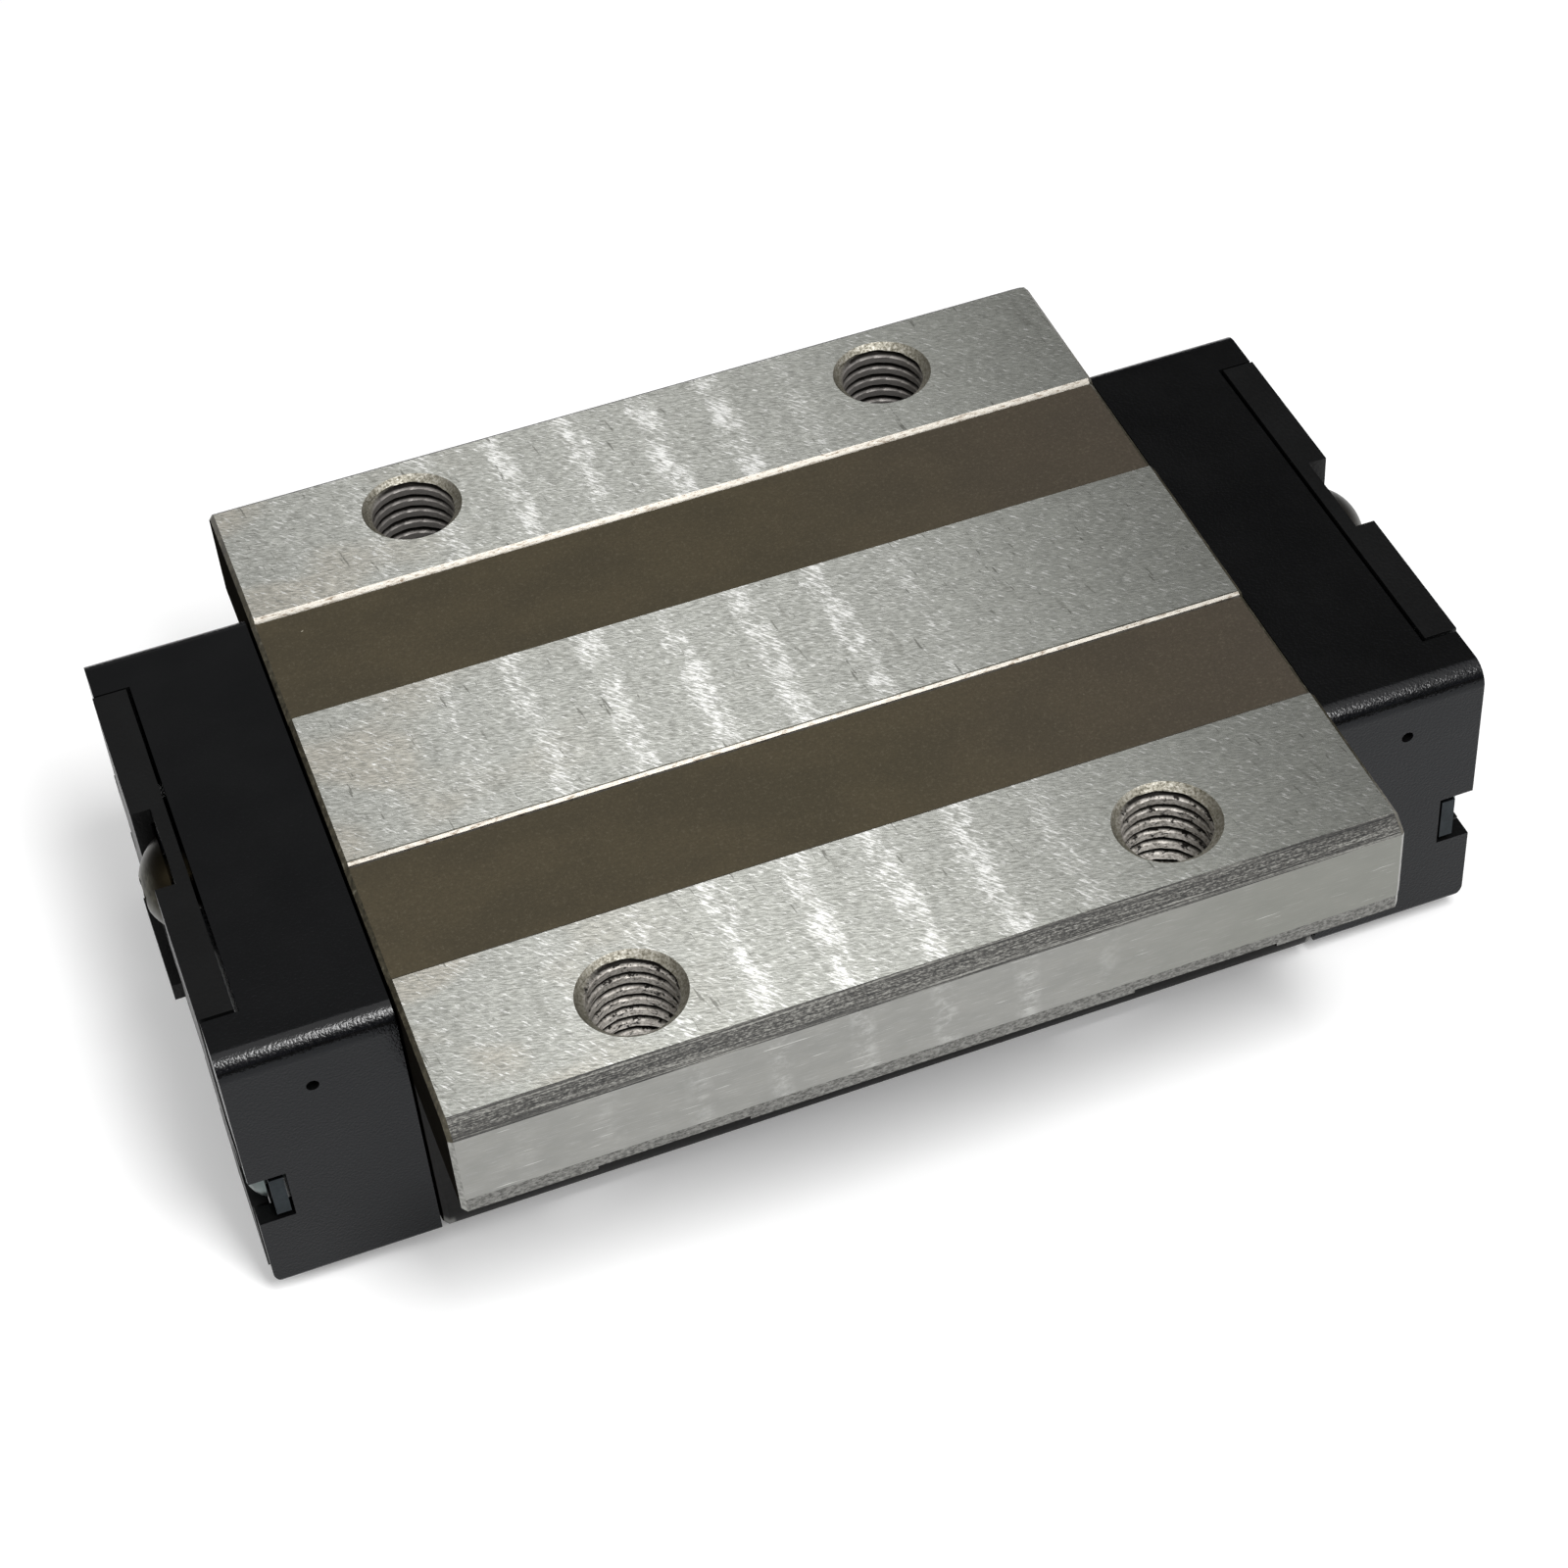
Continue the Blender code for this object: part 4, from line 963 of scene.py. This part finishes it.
def turnaround(end, side, level):
    """The ring along whose outer half balls pass from a loaded row to its return row."""
    loaded = Vector((0.0, side * LOADED_Y, LOADED_Z[level]))
    back = Vector((0.0, side * RETURN_Y, RETURN_Z[level]))
    across = back - loaded
    centre = (loaded + back) / 2
    centre.x = end * HALF_LENGTH
    normal = Vector((1.0, 0.0, 0.0)).cross(across)
    bpy.ops.mesh.primitive_torus_add(
        location=centre, rotation=normal.to_track_quat("Z", "Y").to_euler(),
        major_radius=across.length / 2, minor_radius=PASSAGE_RADIUS,
        major_segments=28, minor_segments=24)
    return bpy.context.object


def cap_outline():
    half = [(0.0, CAP_TOP)]
    half += arc((CAP_HALF - CAP_ROUND, CAP_TOP - CAP_ROUND), CAP_ROUND, 90.0, 0.0, 14)
    half += arc((CAP_HALF - CAP_FOOT_ROUND, CAP_FOOT + CAP_FOOT_ROUND), CAP_FOOT_ROUND, 0.0, -90.0, 8)
    half.append((OPENING_HALF, CAP_FOOT))
    half.append((OPENING_HALF, OPENING_TOP))
    return mirrored(half)


def heel_cutter(end):
    """What rounds the lower outer edge of a cap, a bar that lies along Y."""
    r = CAP_HEEL_ROUND
    centre = (CAP_OUTER - r, CAP_FOOT + r)
    profile = arc(centre, r, 0.0, -90.0, 8)
    beyond = CAP_OUTER + PAST
    profile += [(centre[0], CAP_FOOT - PAST), (beyond, CAP_FOOT - PAST), (beyond, centre[1])]
    bar = solid("heel", [(-CAP_HALF - PAST, profile), (CAP_HALF + PAST, profile)])
    # The profile's own X, Y and Z become the cap's Y, X and Z.
    bar.data.transform(Matrix(((0.0, end, 0.0), (1.0, 0.0, 0.0), (0.0, 0.0, 1.0))).to_4x4())
    work = bmesh.new()
    work.from_mesh(bar.data)
    bmesh.ops.recalc_face_normals(work, faces=work.faces)
    work.to_mesh(bar.data)
    work.free()
    return bar


def make_cap(end_name):
    """A moulded cap, with pockets for what it carries and the turns of the ball circuits inside."""
    end = ENDS[end_name]
    outline = cap_outline()
    cap = solid("cap", [(end * CAP_INNER, outline), (end * CAP_OUTER, outline)])
    out = end * (CAP_OUTER + PAST)
    tools = [
        box((end * POCKET_FLOOR, out), (-POCKET_HALF, POCKET_HALF), (LEG_TOP, CAP_TOP + PAST)),
        box((end * POCKET_FLOOR, out), (-LEG_POCKET_HALF, LEG_POCKET_HALF), (CAP_FOOT - PAST, LEG_TOP + GAP)),
        rod(PLUG_HOLE, (end * (CAP_INNER - PAST), 0.0, PLUG_Z), (end * (POCKET_FLOOR + PAST), 0.0, PLUG_Z)),
    ]
    for side in SIDES.values():
        notch_y = (side * (LEG_POCKET_HALF - PAST), side * (CAP_HALF + PAST))
        tools.append(box((end * NOTCH_X, out), notch_y, NOTCH_Z))
        tools.append(box((end * (CAP_INNER - PAST), end * (GUIDE_HIGH.x + GAP)),
                         (side * (GUIDE_LOW.y - PAST), side * (GUIDE_HIGH.y + GAP)),
                         (GUIDE_LOW.z - GAP, GUIDE_HIGH.z + GAP)))
        x, z = end * DIMPLE[0], DIMPLE[1]
        depth = CAP_HALF - DIMPLE_DEPTH
        tools.append(rod(DIMPLE_RADIUS, (x, side * depth, z), (x, side * (CAP_HALF + PAST), z), 16))
        y, z = side * LEG_SCREW[0], LEG_SCREW[1]
        deep, open_end = end * LEG_SCREW_HOLE_END, end * (POCKET_FLOOR + PAST)
        tools.append(rod(LEG_SCREW_HOLE, (deep, y, z), (open_end, y, z), 16))
        for level in LEVELS:
            tools.append(turnaround(end, side, level))
    tools.append(heel_cutter(end))
    combine(cap, tools)
    round_edges(cap, CAP_EDGE)
    cap.data.materials.append(LOOKS["cap_resin"])
    cap.data.materials.append(RUBBED_RESIN)
    for face in cap.data.polygons:
        on_round = abs(face.center.y) > CAP_HALF - CAP_ROUND and face.center.z > CAP_TOP - CAP_ROUND
        slopes = RUBBED_SLOPE[0] < face.normal.z < RUBBED_SLOPE[1] and abs(face.normal.x) < 0.1
        if on_round and slopes:
            face.material_index = 1
    smooth(cap, 32.0)
    flatten_normals(cap)
    finish_piece(cap, f"end_cap_{end_name}", "cap_resin")


def seal_outline():
    """An arch: the seal's own outside, and inside it the shape of the rail."""
    outside = [
        (0.0, SEAL_TOP),
        (SEAL_HALF, SEAL_TOP),
        (SEAL_HALF, LEG_TOP),
        (LEG_HALF, LEG_TOP),
        (LEG_HALF, CAP_FOOT),
    ]
    return mirrored(outside + list(reversed(rail_opening(GAP, CAP_FOOT))))


def make_seal(end_name):
    """An end seal, with a lip along its top inner edge and notches that clear the screws."""
    end = ENDS[end_name]
    inner = PLATE_OUTER + GAP
    outline = seal_outline()
    seal = solid("seal", [(end * inner, outline), (end * SEAL_OUTER, outline)])
    lip = box((end * PLATE_INNER, end * (inner + LIP_ROOT)), (-SEAL_HALF, SEAL_HALF), (SEAL_LIP_Z, SEAL_TOP))
    bead = box((end * (SEAL_OUTER - BEAD_ROOT), end * (SEAL_OUTER + BEAD_PROUD)),
               (-BEAD_HALF, BEAD_HALF), BEAD_Z)
    combine(seal, [lip, bead], "UNION")
    outside = end * (SEAL_OUTER + PAST)
    inside = end * (inner - PAST / 2)
    tools = [
        box((end * PLATE_OUTER, outside), (-PLUG_NOTCH_HALF, PLUG_NOTCH_HALF), (PLUG_Z, SEAL_TOP + PAST)),
        rod(PLUG_NOTCH_HALF, (inside, 0.0, PLUG_Z), (outside, 0.0, PLUG_Z), 64),
    ]
    for side in SIDES.values():
        y, z = side * LEG_SCREW[0], LEG_SCREW[1]
        half = (NOTCH_Z[1] - NOTCH_Z[0]) / 2
        tools.append(box((inside, outside), (y, side * (LEG_HALF + PAST)), (z - half, z + half)))
        tools.append(rod(half, (inside, y, z), (outside, y, z), 40))
    combine(seal, tools)
    round_edges(seal, SEAL_EDGE)
    smooth(seal, 32.0)
    flatten_normals(seal)
    finish_piece(seal, f"end_seal_{end_name}", "seal_rubber")


def screw_head(name, radius, height, shank, length, place, end, socket):
    """A domed screw head on its shank, with a hexagon socket."""
    sphere = (radius * radius + height * height) / (2 * height)
    reach = math.degrees(math.asin(min(radius / sphere, 1.0)))
    dome = arc((0.0, height - sphere), sphere, 90.0, 90.0 - reach, 14)
    profile = [(0.0, height)] + dome[1:] + [(shank, 0.0), (shank, -length), (0.0, -length)]
    piece = turned(name, profile, 64)
    combine(piece, [rod(socket, (0.0, 0.0, height * 0.35), (0.0, 0.0, height * 2), 6)])
    weld(piece)
    lay_along_x(piece, place, end)
    smooth(piece, 35.0)
    return piece


def make_screws():
    for end_name, end in ENDS.items():
        seat = end * (PLATE_OUTER + GAP)
        low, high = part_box(f"grease_plug_{end_name}")
        height = max(abs(low.x), abs(high.x)) - abs(seat)
        plug = screw_head("plug", PLUG_HEAD, height, PLUG_SHANK, PLUG_LENGTH,
                          (seat, 0.0, PLUG_Z), end, PLUG_SOCKET)
        finish_piece(plug, f"grease_plug_{end_name}", "plug_steel")
        for side_name, side in SIDES.items():
            place = (seat, side * LEG_SCREW[0], LEG_SCREW[1])
            piece = screw_head("screw", LEG_SCREW_HEAD, LEG_SCREW_HEIGHT, LEG_SCREW_SHANK, LEG_SCREW_LENGTH,
                               place, end, LEG_SCREW_SOCKET)
            finish_piece(piece, f"seal_screw_{end_name}_{side_name}", "screw_steel")


def make_balls():
    """Each row is one turned solid, its balls joined by a thin link."""
    tilt = math.degrees(math.asin(LINK_RADIUS / BALL_RADIUS))
    length = (BALLS_PER_ROW - 1) * BALL_PITCH
    for kind, y, heights in (("loaded", LOADED_Y, LOADED_Z), ("return", RETURN_Y, RETURN_Z)):
        for side_name, side in SIDES.items():
            for level in LEVELS:
                profile = [(0.0, length / 2 + BALL_RADIUS)]
                for i in range(BALLS_PER_ROW):
                    centre = length / 2 - i * BALL_PITCH
                    profile += arc((0.0, centre), BALL_RADIUS, 90.0 - tilt, tilt - 90.0, 14)
                profile.append((0.0, -length / 2 - BALL_RADIUS))
                row = turned("balls", profile, 32)
                lay_along_x(row, (0.0, side * y, heights[level]))
                smooth(row, 50.0)
                place = f"{side_name}_{level}"
                finish_piece(row, f"{kind}_balls_{place}", "ball_steel", f"{kind}_row_{place}")


def dress_cad_nodes():
    """Give the CAD nodes that stay their finished materials."""
    for row in frame["record"]["subparts"]:
        node = frame["nodes"][row["node"]]
        slot = row["material_slot"]
        if slot in LOOKS:
            node.data.materials.clear()
            node.data.materials.append(LOOKS[slot])


# ---------------------------------------------------------------- studio

def area_light(name, place, size, radiance):
    """A soft panel that faces the carriage, whose radiance stays the same whatever its size."""
    light = bpy.data.lights.new(name, "AREA")
    light.shape = "RECTANGLE"
    light.size, light.size_y = size
    light.energy = radiance * math.pi * size[0] * size[1]
    lamp = bpy.data.objects.new(name, light)
    bpy.context.scene.collection.objects.link(lamp)
    lamp.location = place
    lamp.rotation_euler = (Vector(LIGHT_AIM) - Vector(place)).to_track_quat("-Z", "Y").to_euler()


def toward(azimuth, elevation, distance):
    """A point in a direction from the carriage; azimuth 0 is +Y and 90 is +X."""
    a, e = math.radians(azimuth), math.radians(elevation)
    level = distance * math.cos(e)
    return (level * math.sin(a), level * math.cos(a), distance * math.sin(e))


def make_world():
    """A dark surround that opens overhead and glows at both ends; seen directly it is pale."""
    world = bpy.data.worlds.new("studio")
    world.use_nodes = True
    bpy.context.scene.world = world
    graph = Graph(world.node_tree, "Background", "Generated")
    sky = graph.ramp(graph.axis("Z"), (0.0, 0.03), (0.45, 0.04), (0.60, 0.09), (0.80, 0.11), (0.92, 0.95))
    reach = graph.math("ABSOLUTE", graph.axis("X"))
    glow = graph.node("MapRange", {"Value": reach, "From Min": 0.6, "From Max": 0.95, "To Max": 0.45})
    lit = graph.mix(1.0, sky, glow, "ADD")
    seen_directly = graph.node("LightPath", {}, "Is Camera Ray")
    graph.feed("Color", graph.mix(seen_directly, lit, (0.9, 0.9, 0.9)))


def make_studio():
    scene = bpy.context.scene
    scene.view_settings.view_transform = "Standard"
    make_world()
    area_light("back_panel", toward(-16.0, 45.0, 0.9), (0.98, 0.9), 0.21)
    area_light("overhead_key", toward(163.0, 59.0, 0.8), (0.21, 0.40), 20.0)
    area_light("left_fill", toward(-110.0, 40.0, 0.9), (0.5, 0.5), 2.0)

    work = bmesh.new()
    bmesh.ops.create_grid(work, x_segments=1, y_segments=1, size=FLOOR_SIZE)
    floor = from_bmesh("floor", work)
    look = Look("pale_floor", (0.86, 0.86, 0.86), 0.7)
    look.feed("Specular IOR Level", 0.1)
    look.feed("Emission Color", (1.0, 1.0, 1.0, 1.0))
    look.feed("Emission Strength", 0.18)
    tone = look.noise((60.0 * MM, 60.0 * MM, 60.0 * MM), detail=2.0)
    look.feed("Base Color", look.ramp(tone, (0.3, 0.88), (0.7, 0.90)))
    floor.data.materials.append(look.material)
    floor.location.z = -FLOOR_DROP

    camera = bpy.data.objects.new("camera", bpy.data.cameras.new("camera"))
    scene.collection.objects.link(camera)
    camera.data.lens = CAMERA_LENS
    camera.data.sensor_width = 36.0
    camera.data.clip_start = 0.01
    camera.location = CAMERA_PLACE
    camera.rotation_euler = Euler([math.radians(angle) for angle in CAMERA_TURN])
    scene.camera = camera


make_studio()
make_block()
for cap_end in ENDS:
    make_cap(cap_end)
    make_seal(cap_end)
make_screws()
make_balls()
dress_cad_nodes()
